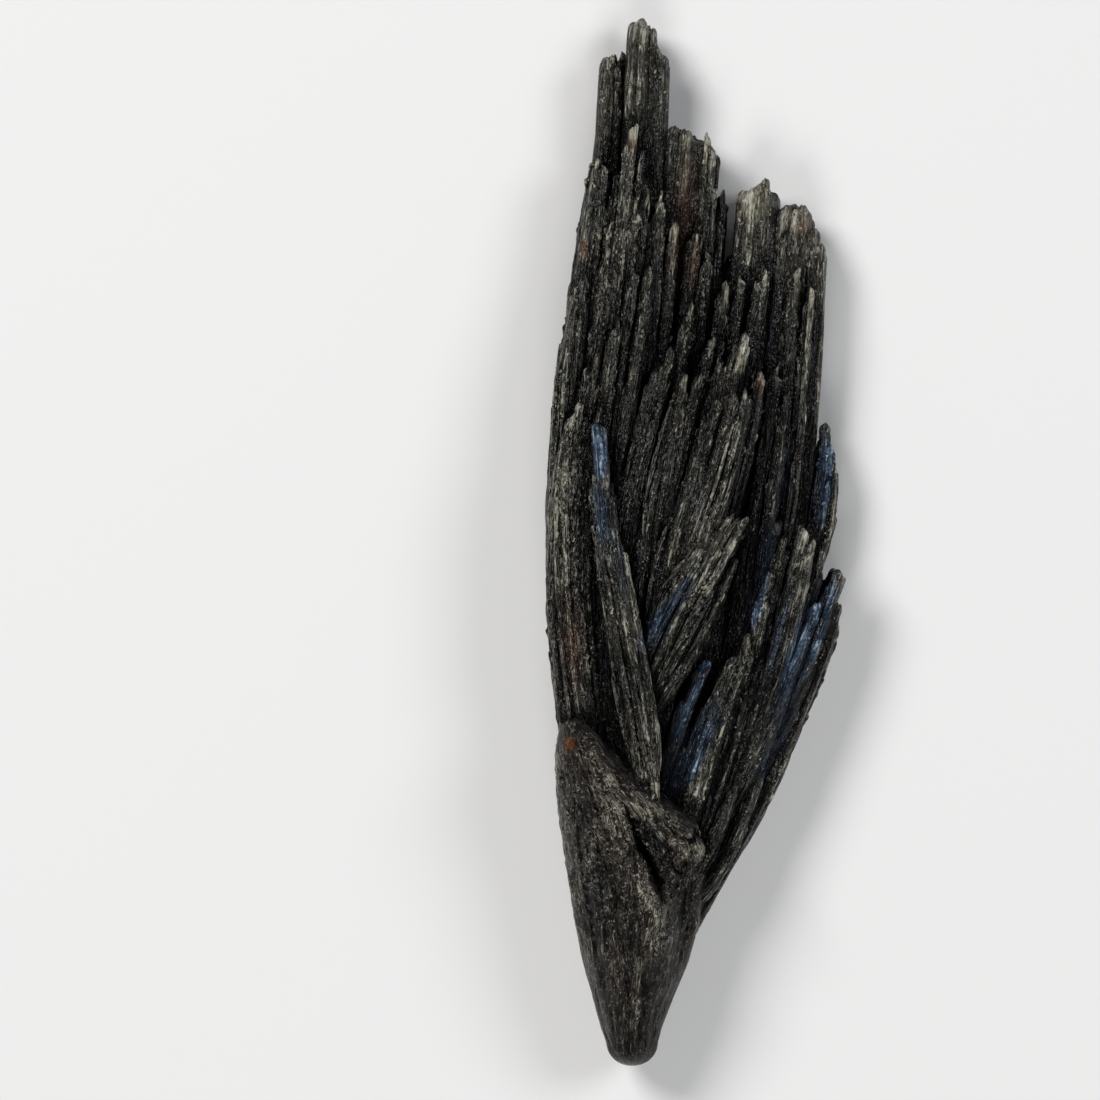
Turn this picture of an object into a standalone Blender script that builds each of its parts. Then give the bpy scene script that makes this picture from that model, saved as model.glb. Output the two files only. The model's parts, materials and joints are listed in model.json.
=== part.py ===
"""Black kyanite fan: one natural crystal aggregate, lying on its back.

Blades of kyanite radiate from a rounded root and end at different heights, in layers that step
down from the front face to the back. They grew together, so the whole fan is one solid.

Run with: blender --background --python part.py

Plan positions are drawing units (x to the right, y down from the tip end), with UNITS_LONG of them
to the fan's length. Heights and thicknesses are in millimetres above the surface it lies on.
"""

import math
import random

import bmesh
import bpy
from mathutils import Vector

# ---------------------------------------------------------------- driving dimensions
LENGTH = 0.100  # m, tip of the tallest blade to the end of the root
UNITS_LONG = 1051.0  # drawing units in that length
CENTRE_X, CENTRE_Y = 694.5, 541.5  # the middle of the plan outline, in drawing units
FLOOR_CUT = 0.020  # m, depth of the block that trims the underside flat
UNIT = LENGTH / UNITS_LONG
MM = 0.001
WELD = 0.00001  # m, corners of the joined blades closer than this are one corner

# The root: y, left x, right x, top z, underside z at sections from its foot to its shoulder.
ROOT = [
    (1066, 624, 640, 6.0, 4.0),
    (1060, 617, 648, 7.4, 2.7),
    (1048, 608, 656, 8.6, 1.6),
    (1028, 600, 661, 9.7, 0.7),
    (998, 593, 672, 10.9, 0.1),
    (962, 583, 687, 12.1, -0.25),
    (920, 574, 702, 13.2, -0.3),
    (880, 569, 712, 14.0, -0.3),
    (845, 563, 710, 14.5, -0.2),
    (812, 558, 690, 14.8, 0.2),
    (782, 556, 652, 14.6, 0.9),
    (755, 555, 621, 14.0, 1.8),
    (733, 558, 598, 13.2, 3.2),
    (718, 564, 582, 12.2, 5.0),
]

# Blades: name, path from the root to the tip, widths along it, top z along it, thickness along it,
# (peak, left drop, right drop): where across its width the tip is highest, from -1 to 1, and how far
# its left and right edges end short of that.
BLADES = [
    # the back plate, which also makes the tall towers at the tip end
    ("spire_left", [(612, 900), (578, 560), (587, 330), (602, 57)], [18, 20, 18, 14], [5.0, 5.4, 5.2, 4.8], [4.6, 4.8, 4.4, 3.2], (0.0, 12, 10)),
    ("spire_notch", [(618, 900), (592, 560), (603, 330), (618, 43)], [30, 32, 30, 26], [4.8, 4.8, 4.2, 3.6], [4.4, 4.4, 3.6, 2.4], (0.4, 18, 4)),
    ("spire_main", [(624, 900), (610, 560), (623, 330), (640, 10)], [32, 34, 32, 26], [5.2, 5.6, 5.8, 5.6], [5.0, 5.4, 5.2, 3.6], (0.0, 14, 18)),
    ("spire_right", [(630, 900), (631, 560), (643, 330), (657, 32)], [32, 34, 32, 28], [5.0, 5.2, 5.2, 5.0], [4.8, 5.1, 4.6, 3.4], (-0.6, 2, 70)),
    ("tower_middle", [(642, 900), (652, 560), (672, 330), (692, 124)], [56, 66, 66, 62], [5.2, 5.4, 5.5, 5.4], [5.4, 5.5, 5.4, 4.0], (-0.4, 4, 24)),
    ("tower_step", [(655, 900), (680, 560), (697, 360), (711, 196)], [22, 22, 20, 16], [5.6, 6.0, 5.8, 5.4], [4.8, 5.2, 4.8, 3.8], (0.0, 4, 4)),
    ("splinter", [(660, 900), (688, 560), (708, 360), (723, 186)], [14, 14, 12, 9], [5.6, 5.6, 5.4, 4.9], [4.2, 4.2, 3.8, 2.8], (0.1, 9, 6)),
    ("notch_floor", [(665, 900), (702, 560), (718, 400), (731, 244)], [30, 36, 34, 28], [4.6, 4.6, 4.2, 3.6], [4.2, 4.2, 3.6, 2.6], (0.2, 7, 2)),
    ("tower_right_a", [(672, 900), (714, 600), (739, 400), (753, 186)], [36, 36, 34, 30], [5.0, 5.2, 5.4, 5.2], [4.6, 4.8, 4.6, 3.8], (0.2, 10, 4)),
    ("tower_right_b", [(678, 900), (732, 600), (756, 400), (770, 178)], [32, 40, 40, 34], [5.2, 5.4, 5.2, 4.8], [4.8, 5.2, 4.6, 3.6], (-0.3, 6, 30)),
    ("tower_right_c", [(682, 900), (752, 600), (780, 400), (799, 207)], [36, 46, 46, 40], [5.4, 5.6, 5.8, 5.4], [5.4, 5.75, 5.6, 4.0], (0.2, 10, 8)),
    ("tower_right_d", [(688, 900), (776, 600), (804, 400), (815, 231)], [26, 32, 30, 25], [5.2, 5.4, 5.4, 5.0], [4.8, 5.0, 4.8, 3.6], (-0.3, 3, 26)),
    ("edge_upper", [(690, 880), (776, 650), (816, 530), (828, 420)], [28, 34, 32, 20], [5.0, 5.2, 5.0, 4.6], [4.6, 4.8, 4.6, 3.4], (0.2, 8, 40)),
    ("edge_middle", [(640, 1000), (730, 822), (796, 692), (836, 566)], [20, 36, 42, 34], [6.4, 6.8, 6.8, 6.0], [4.6, 6.9, 6.6, 4.6], (-0.3, 4, 34)),
    ("edge_lower", [(636, 1020), (684, 915), (742, 810), (796, 711)], [16, 32, 40, 34], [6.0, 6.6, 6.0, 5.6], [4.4, 6.2, 5.4, 4.6], (0.0, 12, 22)),
    # the first step forward
    ("tier_a_left", [(606, 900), (571, 600), (584, 330), (607, 155)], [46, 46, 44, 36], [7.2, 8.0, 7.6, 7.0], [6.6, 7.2, 5.6, 3.6], (0.0, 6, 4)),
    ("tier_a_mid", [(612, 880), (604, 560), (624, 330), (645, 145)], [42, 42, 38, 28], [7.6, 8.4, 8.2, 7.6], [6.2, 6.4, 5.4, 3.6], (0.1, 18, 22)),
    ("tier_a_tip", [(606, 700), (606, 480), (616, 300), (633, 120)], [18, 18, 16, 12], [8.4, 8.8, 8.4, 7.8], [5.2, 5.2, 4.2, 2.6], (0.0, 16, 16)),
    ("tier_a_right", [(622, 860), (624, 560), (643, 380), (661, 196)], [30, 28, 26, 19], [8.0, 8.6, 8.4, 7.8], [6.2, 6.2, 5.4, 3.6], (0.1, 8, 12)),
    ("blade_675", [(634, 860), (642, 560), (658, 380), (674, 218)], [20, 20, 18, 14], [7.8, 8.2, 8.0, 7.6], [5.6, 5.8, 5.0, 3.2], (0.0, 8, 8)),
    ("blade_696", [(644, 860), (662, 560), (680, 380), (696, 227)], [26, 26, 24, 18], [7.0, 7.2, 7.0, 6.6], [5.4, 5.4, 4.6, 3.0], (0.1, 10, 8)),
    ("blade_727", [(655, 860), (690, 560), (709, 400), (727, 279)], [18, 18, 16, 11], [7.4, 7.6, 7.2, 6.8], [5.4, 5.4, 4.4, 2.8], (0.2, 8, 6)),
    ("blade_744", [(662, 860), (706, 560), (729, 380), (744, 271)], [20, 20, 18, 14], [6.8, 7.0, 6.8, 6.6], [5.2, 5.2, 4.4, 2.8], (0.2, 10, 6)),
    ("blade_765", [(670, 860), (722, 600), (748, 380), (765, 262)], [24, 24, 22, 18], [6.8, 7.0, 6.8, 6.6], [5.2, 5.2, 4.4, 2.8], (0.3, 14, 6)),
    ("blade_798", [(690, 860), (758, 600), (783, 420), (798, 262)], [18, 18, 16, 12], [6.8, 7.0, 6.8, 6.4], [5.0, 5.0, 4.2, 2.6], (0.0, 8, 8)),
    # the second step forward
    ("flank_left", [(596, 800), (566, 600), (569, 420), (588, 268)], [46, 42, 34, 15], [9.2, 9.6, 9.0, 8.2], [8.0, 8.4, 6.6, 3.6], (0.3, 16, 6)),
    ("tier_b_left", [(598, 780), (580, 560), (588, 440), (601, 328)], [46, 46, 42, 34], [9.8, 10.2, 9.8, 9.2], [6.2, 6.2, 5.4, 3.6], (0.2, 18, 8)),
    ("blade_636", [(604, 720), (604, 520), (617, 390), (636, 265)], [22, 20, 18, 12], [9.6, 9.8, 9.4, 8.8], [5.6, 5.4, 4.4, 2.8], (0.1, 10, 6)),
    ("blade_653", [(612, 720), (620, 520), (635, 390), (653, 261)], [22, 20, 18, 12], [9.6, 9.8, 9.4, 8.8], [5.6, 5.4, 4.4, 2.8], (0.2, 10, 6)),
    ("blade_693", [(640, 720), (654, 520), (673, 400), (693, 299)], [24, 22, 20, 14], [9.4, 9.6, 9.2, 8.8], [5.6, 5.6, 4.6, 3.0], (0.1, 10, 8)),
    ("blade_715", [(655, 720), (681, 520), (698, 420), (715, 333)], [18, 18, 16, 10], [9.2, 9.4, 9.0, 8.6], [5.6, 5.4, 4.4, 2.8], (0.1, 8, 6)),
    ("slab_672", [(606, 720), (627, 520), (647, 430), (671, 339)], [38, 36, 32, 24], [10.2, 10.6, 10.2, 9.6], [5.8, 5.8, 4.8, 3.2], (0.3, 14, 6)),
    ("slab_745", [(668, 700), (697, 520), (719, 430), (743, 329)], [36, 36, 34, 26], [10.4, 10.8, 10.4, 9.8], [6.0, 6.0, 5.0, 3.4], (0.4, 18, 6)),
    ("blade_763", [(700, 700), (733, 490), (750, 430), (764, 369)], [20, 18, 16, 12], [9.8, 10.2, 9.8, 9.4], [5.6, 5.6, 4.6, 3.0], (0.0, 8, 6)),
    ("blade_788", [(738, 760), (766, 540), (779, 450), (788, 385)], [16, 14, 12, 9], [8.2, 8.4, 8.0, 7.6], [5.4, 5.2, 4.2, 2.8], (0.1, 8, 6)),
    # the third step forward
    ("flank_front", [(600, 830), (575, 640), (574, 500), (588, 397)], [60, 56, 48, 30], [11.2, 11.4, 10.8, 10.2], [7.2, 7.4, 5.8, 3.8], (0.2, 18, 8)),
    ("blade_687", [(638, 680), (653, 520), (669, 440), (686, 369)], [28, 26, 24, 18], [11.0, 11.4, 11.0, 10.4], [5.4, 5.4, 4.4, 3.0], (0.6, 22, 6)),
    ("slab_740", [(662, 700), (693, 550), (717, 470), (741, 382)], [52, 52, 50, 42], [11.6, 11.9, 11.5, 11.0], [5.8, 5.8, 5.0, 3.6], (0.3, 12, 8)),
    ("blade_750", [(688, 850), (709, 750), (730, 690), (752, 629)], [48, 44, 38, 26], [10.8, 11.0, 10.6, 10.0], [6.4, 6.2, 5.2, 3.6], (0.4, 28, 8)),
    ("blade_775", [(700, 820), (741, 650), (761, 580), (776, 516)], [28, 26, 24, 20], [8.2, 8.4, 8.2, 7.8], [5.6, 5.4, 4.6, 3.0], (0.0, 6, 6)),
    ("slab_812", [(720, 850), (771, 690), (794, 605), (811, 526)], [36, 34, 32, 26], [8.8, 9.2, 9.0, 8.4], [6.2, 6.2, 5.4, 3.6], (0.0, 12, 18)),
    ("edge_front", [(700, 890), (764, 745), (803, 655), (831, 575)], [36, 42, 38, 28], [8.0, 8.2, 8.0, 7.6], [6.2, 6.2, 5.4, 3.6], (0.1, 14, 20)),
    ("root_ridge_a", [(680, 950), (712, 858), (733, 797), (747, 745)], [22, 26, 22, 16], [9.4, 9.8, 9.4, 9.0], [6.6, 6.4, 5.2, 3.4], (0.0, 10, 10)),
    ("root_ridge_b", [(668, 970), (716, 875), (746, 805), (768, 745)], [18, 24, 24, 18], [8.2, 8.4, 8.2, 7.8], [6.6, 6.4, 5.2, 3.4], (0.0, 10, 10)),
    # the front
    ("feather", [(642, 700), (677, 610), (709, 556), (740, 508)], [58, 56, 48, 30], [12.8, 13.0, 12.6, 12.0], [5.4, 5.4, 4.6, 3.2], (0.4, 14, 6)),
    ("feather_low", [(650, 730), (666, 686), (685, 652), (703, 618)], [38, 36, 32, 22], [12.4, 12.6, 12.2, 11.8], [5.4, 5.2, 4.4, 3.0], (0.3, 12, 6)),
    ("long_front", [(652, 812), (636, 710), (609, 560), (597, 417)], [22, 40, 33, 13], [13.6, 14.4, 13.6, 12.4], [6.2, 6.8, 5.4, 2.6], (0.1, 14, 10)),
    ("root_lobe", [(590, 760), (632, 790), (668, 818), (702, 848)], [56, 62, 56, 44], [14.2, 14.8, 14.4, 13.6], [7.6, 7.4, 6.4, 4.8], (0.0, 10, 12)),
    # the heart of the fan, where all of these have grown together
    ("heart", [(640, 1000), (668, 780), (690, 560), (694, 350)], [50, 130, 190, 180], [8.8, 9.0, 7.0, 4.6], [7.2, 7.6, 5.6, 3.2], (0.0, 20, 20)),
    # low blades on the underside
    ("under_left", [(618, 980), (588, 700), (590, 480), (604, 330)], [30, 56, 50, 38], [2.6, 2.8, 2.8, 2.6], [2.5, 2.3, 2.1, 1.6], (0.0, 10, 10)),
    ("under_mid", [(632, 980), (640, 640), (664, 420), (684, 250)], [30, 66, 60, 44], [2.8, 3.0, 3.0, 2.8], [2.9, 3.1, 3.1, 2.2], (0.0, 14, 10)),
    ("under_right", [(650, 950), (726, 690), (772, 520), (794, 340)], [30, 66, 60, 40], [2.8, 3.0, 3.0, 2.8], [2.9, 3.1, 3.1, 2.2], (0.0, 12, 14)),
    ("under_gap", [(642, 970), (684, 680), (718, 500), (736, 380)], [24, 48, 44, 32], [2.8, 3.0, 3.0, 2.8], [2.5, 2.6, 2.3, 1.8], (0.2, 14, 8)),
    ("under_spire", [(622, 940), (600, 600), (612, 360), (630, 150)], [24, 40, 36, 24], [3.4, 3.6, 3.6, 3.2], [2.6, 2.9, 2.6, 1.6], (0.0, 16, 12)),
]
RINGS = 5  # cross-sections along each blade
SIDES = 8  # corners of a blade's cross-section
TIP_WIDTH, TIP_DEPTH = 0.84, 0.66  # how far the last section narrows and thins

# The laths that stand proud along the front of each broad blade.
LATH_EVERY = 15.0  # drawing units of blade width to each lath
LATH_WIDTH, LATH_DEPTH = 7.5, 1.9  # drawing units, mm
LATH_PROUD = 0.38  # mm above the face of the blade
LATH_RINGS, LATH_SIDES = 4, 6
BROAD = 25.0  # blades narrower than this carry no laths
PLAIN = ("heart", "root_lobe", "under_left", "under_mid", "under_right", "under_gap", "under_spire")


def plan(x, y, z):
    """A point from drawing units and millimetres of height to metres in the part's frame."""
    return Vector(((x - CENTRE_X) * UNIT, (CENTRE_Y - y) * UNIT, z * MM))


def along(values, t):
    """values read smoothly at t from 0 to 1 (Catmull-Rom)."""
    n = len(values) - 1
    i = min(int(t * n), n - 1)
    u = t * n - i
    a, b = values[i], values[i + 1]
    before = values[i - 1] if i else 2 * a - b
    after = values[i + 2] if i + 2 <= n else 2 * b - a
    return 0.5 * (
        2 * a + (b - before) * u + (2 * before - 5 * a + 4 * b - after) * u * u + (3 * a - before - 3 * b + after) * u**3
    )


def clear_scene():
    for obj in list(bpy.data.objects):
        bpy.data.objects.remove(obj)


def kyanite_material():
    mat = bpy.data.materials.new("black_kyanite")
    mat.use_nodes = True
    shader = mat.node_tree.nodes["Principled BSDF"]
    shader.inputs["Base Color"].default_value = (0.035, 0.036, 0.037, 1)
    shader.inputs["Roughness"].default_value = 0.5
    shader.inputs["Metallic"].default_value = 0.0
    return mat


def mesh_object(name, bm, collection, material):
    bmesh.ops.recalc_face_normals(bm, faces=bm.faces)
    mesh = bpy.data.meshes.new(name)
    bm.to_mesh(mesh)
    bm.free()
    mesh.materials.append(material)
    obj = bpy.data.objects.new(name, mesh)
    collection.objects.link(obj)
    return obj


def laths(spec):
    """Specs for the narrow laths along a broad blade's front face, each ending at its own height."""
    name, path, widths, tops, depths, (peak, left, right) = spec
    broad = sum(widths) / len(widths)
    if broad < BROAD or name in PLAIN:
        return []
    chance = random.Random(name)
    length = sum(math.dist(a, b) for a, b in zip(path, path[1:]))
    count = max(1, round(broad / LATH_EVERY))
    found = []
    for i in range(count):
        across = (i + 0.5) / count * 1.5 - 0.75 + chance.uniform(-0.06, 0.06)
        # an eight-sided blade is flat across its middle and slopes off towards its edges
        sunk = max(0.0, abs(across) - 0.414)
        drop = right * max(0, across - peak) / (1 - peak) + left * max(0, peak - across) / (1 + peak)
        end = 1 - drop / length - chance.choice((-5, 4, 16, 40)) / length
        rings = [i / 3 * end for i in range(4)]
        xs, ys = [p[0] for p in path], [p[1] for p in path]
        centre, tall = [], []
        for t in rings:
            x, y, w = along(xs, t), along(ys, t), along(widths, t)
            run = Vector((along(xs, t + 0.01) - along(xs, t - 0.01), along(ys, t + 0.01) - along(ys, t - 0.01)))
            run.normalize()
            centre.append((x - run.y * across * w / 2, y + run.x * across * w / 2))
            tall.append(along(tops, t) - sunk * along(depths, t) / 2 + LATH_PROUD)
        wide = LATH_WIDTH * chance.uniform(0.85, 1.15)
        found.append((f"{name}_lath_{i + 1}", centre, [wide] * 4, tall, [LATH_DEPTH] * 4, (0.0, 3, 3)))
    return found


def make_blade(spec, collection, material, rings=RINGS, sides=SIDES):
    """One kyanite blade: a many-sided bar swept along its path, thinning to a broken tip."""
    name, path, widths, tops, depths, (peak, left, right) = spec
    xs, ys = [p[0] for p in path], [p[1] for p in path]
    length = sum(math.dist(a, b) for a, b in zip(path, path[1:]))
    bm = bmesh.new()
    bmesh.ops.create_cone(bm, cap_ends=True, segments=sides, radius1=1, radius2=1, depth=1)
    uprights = [e for e in bm.edges if abs(e.verts[0].co.z - e.verts[1].co.z) > 0.5]
    bmesh.ops.subdivide_edges(bm, edges=uprights, cuts=rings - 2, use_grid_fill=False)
    turn = math.pi / sides
    for v in bm.verts:
        t = v.co.z + 0.5
        angle = math.atan2(v.co.y, v.co.x) + turn
        across, up = math.cos(angle) / math.cos(turn), math.sin(angle) / math.cos(turn)
        if t > 0.999:
            across, up = across * TIP_WIDTH, up * TIP_DEPTH
        short = right * max(0, across - peak) / (1 - peak) + left * max(0, peak - across) / (1 + peak)
        # the last section is drawn back on each side by the slope of the tip
        s = max(0.0, t * (1 - short / length))
        x, y, w = along(xs, s), along(ys, s), along(widths, s)
        ahead, behind = min(1, s + 0.01), max(0, s - 0.01)
        run = Vector((along(xs, ahead) - along(xs, behind), along(ys, ahead) - along(ys, behind)))
        run.normalize()
        # across points to the right of the way the blade runs, seen from the front
        px, py = -run.y, run.x
        top, depth = along(tops, s), along(depths, s)
        z = top - depth / 2 + up * depth / 2
        v.co = plan(x + px * across * w / 2, y + py * across * w / 2, z)
    return mesh_object(name, bm, collection, material)


def make_root(collection, material):
    """The rounded root: a sphere drawn out through the root's sections."""
    rings = len(ROOT)
    bm = bmesh.new()
    bmesh.ops.create_uvsphere(bm, u_segments=18, v_segments=rings + 1, radius=1)
    for v in bm.verts:
        polar = math.acos(max(-1.0, min(1.0, v.co.z))) / math.pi * (rings + 1)
        i = round(polar)
        if i == 0 or i == rings + 1:
            y, left, right, top, low = ROOT[0] if i == 0 else ROOT[-1]
            y += 1 if i == 0 else -4
            v.co = plan((left + right) / 2, y, (top + low) / 2)
            continue
        y, left, right, top, low = ROOT[i - 1]
        angle = math.atan2(v.co.y, v.co.x)
        across = math.copysign(abs(math.cos(angle)) ** 0.85, math.cos(angle))
        up = math.copysign(abs(math.sin(angle)) ** 0.85, math.sin(angle))
        v.co = plan((left + right) / 2 + across * (right - left) / 2, y, (top + low) / 2 + up * (top - low) / 2)
    return mesh_object("kyanite_fan", bm, collection, material)


def keep_outer_skin(obj):
    """Sets the joined blades as the object's mesh, with every space sealed inside filled as rock."""
    shape = bpy.data.meshes.new_from_object(obj.evaluated_get(bpy.context.evaluated_depsgraph_get()))
    bm = bmesh.new()
    bm.from_mesh(shape)
    bmesh.ops.remove_doubles(bm, verts=bm.verts, dist=WELD)
    bmesh.ops.dissolve_degenerate(bm, edges=bm.edges, dist=WELD)
    seen, skins = set(), []
    for start in bm.faces:
        if start in seen:
            continue
        seen.add(start)
        edge, skin = [start], [start]
        while edge:
            for e in edge.pop().edges:
                for face in e.link_faces if len(e.link_faces) == 2 else ():
                    if face not in seen:
                        seen.add(face)
                        skin.append(face)
                        edge.append(face)
        skins.append(skin)
    skins.sort(key=len)
    bmesh.ops.delete(bm, geom=[face for skin in skins[:-1] for face in skin], context="FACES")
    bm.to_mesh(shape)
    bm.free()
    obj.modifiers.clear()
    obj.data = shape


def main():
    clear_scene()
    fan_parts = bpy.data.collections.new("black_kyanite_fan")
    blades = bpy.data.collections.new("blades")
    cutters = bpy.data.collections.new("cutters")
    for c in (fan_parts, blades, cutters):
        bpy.context.scene.collection.children.link(c)
    material = kyanite_material()
    fan = make_root(fan_parts, material)
    bars = [make_blade(spec, blades, material) for spec in BLADES]
    bars += [make_blade(lath, blades, material, LATH_RINGS, LATH_SIDES) for spec in BLADES for lath in laths(spec)]
    for bar in bars:
        bar.hide_render = True
        bar.display_type = "WIRE"

    bm = bmesh.new()
    bmesh.ops.create_cube(bm, size=1)
    for v in bm.verts:
        v.co = Vector((v.co.x * 0.2, v.co.y * 0.2, (v.co.z - 0.5) * FLOOR_CUT))
    floor = mesh_object("floor_cut", bm, cutters, material)
    floor.hide_render = True
    floor.display_type = "WIRE"

    grown = fan.modifiers.new("grown together", "BOOLEAN")
    grown.operation = "UNION"
    grown.solver = "EXACT"
    grown.operand_type = "COLLECTION"
    grown.collection = blades
    flat = fan.modifiers.new("resting faces", "BOOLEAN")
    flat.operation = "DIFFERENCE"
    flat.solver = "EXACT"
    flat.object = floor
    keep_outer_skin(fan)


main()
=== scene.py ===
"""Black kyanite fan: the looks.

The fan is made of bundles. Each bundle is a ridged core swept along its own path from the root, with
narrow laths grown along its faces and ending at their own heights. The bundles of one region are
joined into one closed mesh. Plan positions are drawing units (x right, y down), as in the CAD, with
heights in millimetres above the surface that the fan lies on.
"""
import json
import math
import random
import time

import bpy
import numpy as np
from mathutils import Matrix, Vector

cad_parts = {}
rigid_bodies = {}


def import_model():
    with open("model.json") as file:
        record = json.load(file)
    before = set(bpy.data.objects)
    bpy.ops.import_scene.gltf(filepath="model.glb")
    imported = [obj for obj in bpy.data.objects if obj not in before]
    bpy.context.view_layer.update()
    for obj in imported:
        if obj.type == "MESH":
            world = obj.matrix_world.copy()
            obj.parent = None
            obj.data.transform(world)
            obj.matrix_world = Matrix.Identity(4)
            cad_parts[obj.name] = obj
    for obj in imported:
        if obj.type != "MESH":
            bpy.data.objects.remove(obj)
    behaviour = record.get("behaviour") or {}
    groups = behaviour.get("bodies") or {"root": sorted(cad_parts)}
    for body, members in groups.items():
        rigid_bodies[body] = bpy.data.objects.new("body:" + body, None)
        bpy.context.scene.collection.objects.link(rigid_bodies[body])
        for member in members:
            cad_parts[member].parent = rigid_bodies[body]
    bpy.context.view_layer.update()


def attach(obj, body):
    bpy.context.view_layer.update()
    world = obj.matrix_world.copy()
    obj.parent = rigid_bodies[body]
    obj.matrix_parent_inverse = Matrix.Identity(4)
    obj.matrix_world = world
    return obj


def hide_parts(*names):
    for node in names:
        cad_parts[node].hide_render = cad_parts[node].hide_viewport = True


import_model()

STARTED = time.time()

# ------------------------------------------------------------------ sizes shared with the CAD
UNIT = 100.0 / 1051.0  # mm to a drawing unit
CENTRE_X, CENTRE_Y = 694.5, 541.5
MM = 0.001

# Bundles: name, path from the root to the tip, widths, top z, thickness, (peak, left drop, right drop),
# then the lath pitch in mm and how ragged the tips are in mm.
BACK = [
    ("spire_left", [(612, 900), (579, 560), (590, 330), (607, 54)], [18, 20, 18, 10], [5.0, 5.4, 5.2, 4.8], [4.6, 4.8, 4.4, 3.2], (0.0, 10, 8)),
    ("spire_notch", [(618, 900), (592, 560), (603, 330), (618, 37)], [30, 32, 28, 24], [4.8, 4.9, 4.8, 4.6], [4.4, 4.4, 3.8, 3.2], (0.7, 11, 3)),
    ("spire_main", [(624, 900), (610, 560), (623, 330), (640, 14)], [30, 32, 28, 24], [5.2, 5.6, 5.9, 5.7], [5.0, 5.4, 5.2, 3.6], (0.1, 9, 6)),
    ("spire_right", [(630, 900), (633, 560), (645, 330), (656, 17)], [32, 34, 34, 28], [5.0, 5.2, 5.4, 5.2], [4.8, 5.1, 4.8, 3.6], (-0.7, 2, 42)),
    ("tower_middle", [(642, 900), (652, 560), (670, 330), (688, 122)], [52, 60, 56, 50], [5.2, 5.4, 5.5, 5.4], [5.4, 5.5, 5.4, 4.0], (-0.5, 4, 14)),
    ("tower_step", [(652, 900), (676, 560), (695, 360), (711, 128)], [22, 24, 26, 22], [5.6, 5.9, 5.9, 5.7], [4.8, 5.2, 4.8, 3.8], (-0.2, 4, 14)),
    ("splinter", [(660, 900), (688, 560), (708, 360), (723, 186)], [14, 16, 13, 9], [5.6, 5.6, 5.4, 4.9], [4.2, 4.2, 3.8, 2.8], (0.1, 9, 4)),
    ("splinter_low", [(658, 900), (684, 560), (702, 360), (713, 197)], [16, 18, 16, 12], [5.8, 6.0, 5.8, 5.4], [4.2, 4.2, 3.8, 2.8], (0.1, 6, 6)),
    ("notch_floor", [(665, 900), (702, 560), (718, 400), (731, 246)], [30, 36, 32, 24], [4.6, 4.6, 4.2, 3.6], [4.2, 4.2, 3.6, 2.6], (0.2, 7, 2)),
    ("tower_right_a", [(672, 900), (714, 600), (736, 400), (754, 181)], [34, 36, 34, 25], [5.0, 5.2, 5.4, 5.2], [4.6, 4.8, 4.6, 3.8], (0.4, 8, 3)),
    ("tower_right_b", [(678, 900), (730, 600), (753, 400), (767, 176)], [32, 38, 36, 28], [5.2, 5.4, 5.4, 5.2], [4.8, 5.2, 4.6, 3.8], (0.0, 6, 14)),
    ("tower_right_c", [(682, 900), (752, 600), (779, 400), (797, 200)], [34, 42, 42, 36], [5.4, 5.6, 5.8, 5.4], [5.4, 5.75, 5.6, 4.2], (0.4, 5, 8)),
    ("tower_right_d", [(688, 900), (778, 600), (806, 400), (818, 226)], [26, 32, 28, 22], [5.2, 5.4, 5.4, 5.0], [4.8, 5.0, 4.8, 3.6], (-0.5, 2, 20)),
    ("edge_upper", [(690, 880), (777, 650), (818, 530), (830, 418)], [28, 34, 33, 16], [5.0, 5.2, 5.0, 4.6], [4.6, 4.8, 4.6, 3.4], (-0.4, 3, 36)),
    ("edge_middle", [(634, 990), (721, 822), (797, 690), (841, 566)], [8, 34, 42, 26], [6.4, 6.8, 6.8, 6.0], [4.6, 6.9, 6.6, 4.6], (-0.3, 4, 32)),
    ("edge_lower", [(630, 1010), (678, 912), (734, 810), (791, 709)], [8, 26, 36, 32], [6.0, 6.6, 6.0, 5.6], [4.4, 6.2, 5.4, 4.6], (0.0, 12, 22)),
    ("heart", [(640, 1000), (668, 780), (690, 560), (694, 350)], [50, 130, 190, 180], [8.8, 9.0, 7.0, 4.6], [7.2, 7.6, 5.6, 3.2], (0.0, 20, 20)),
    ("under_left", [(618, 980), (588, 700), (590, 480), (604, 330)], [30, 56, 50, 38], [2.6, 2.8, 2.8, 2.6], [2.5, 2.3, 2.1, 1.6], (0.0, 10, 10)),
    ("under_mid", [(632, 980), (640, 640), (664, 420), (684, 250)], [30, 66, 60, 44], [2.8, 3.0, 3.0, 2.8], [2.9, 3.1, 3.1, 2.2], (0.0, 14, 10)),
    ("under_right", [(650, 950), (726, 690), (772, 520), (794, 340)], [30, 66, 60, 40], [2.8, 3.0, 3.0, 2.8], [2.9, 3.1, 3.1, 2.2], (0.0, 12, 14)),
    ("under_gap", [(642, 970), (684, 680), (718, 500), (736, 380)], [24, 48, 44, 32], [2.8, 3.0, 3.0, 2.8], [2.5, 2.6, 2.3, 1.8], (0.2, 14, 8)),
    ("under_spire", [(622, 940), (600, 600), (612, 360), (630, 150)], [24, 40, 36, 24], [3.4, 3.6, 3.6, 3.2], [2.6, 2.9, 2.6, 1.6], (0.0, 16, 12)),
]
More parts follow.
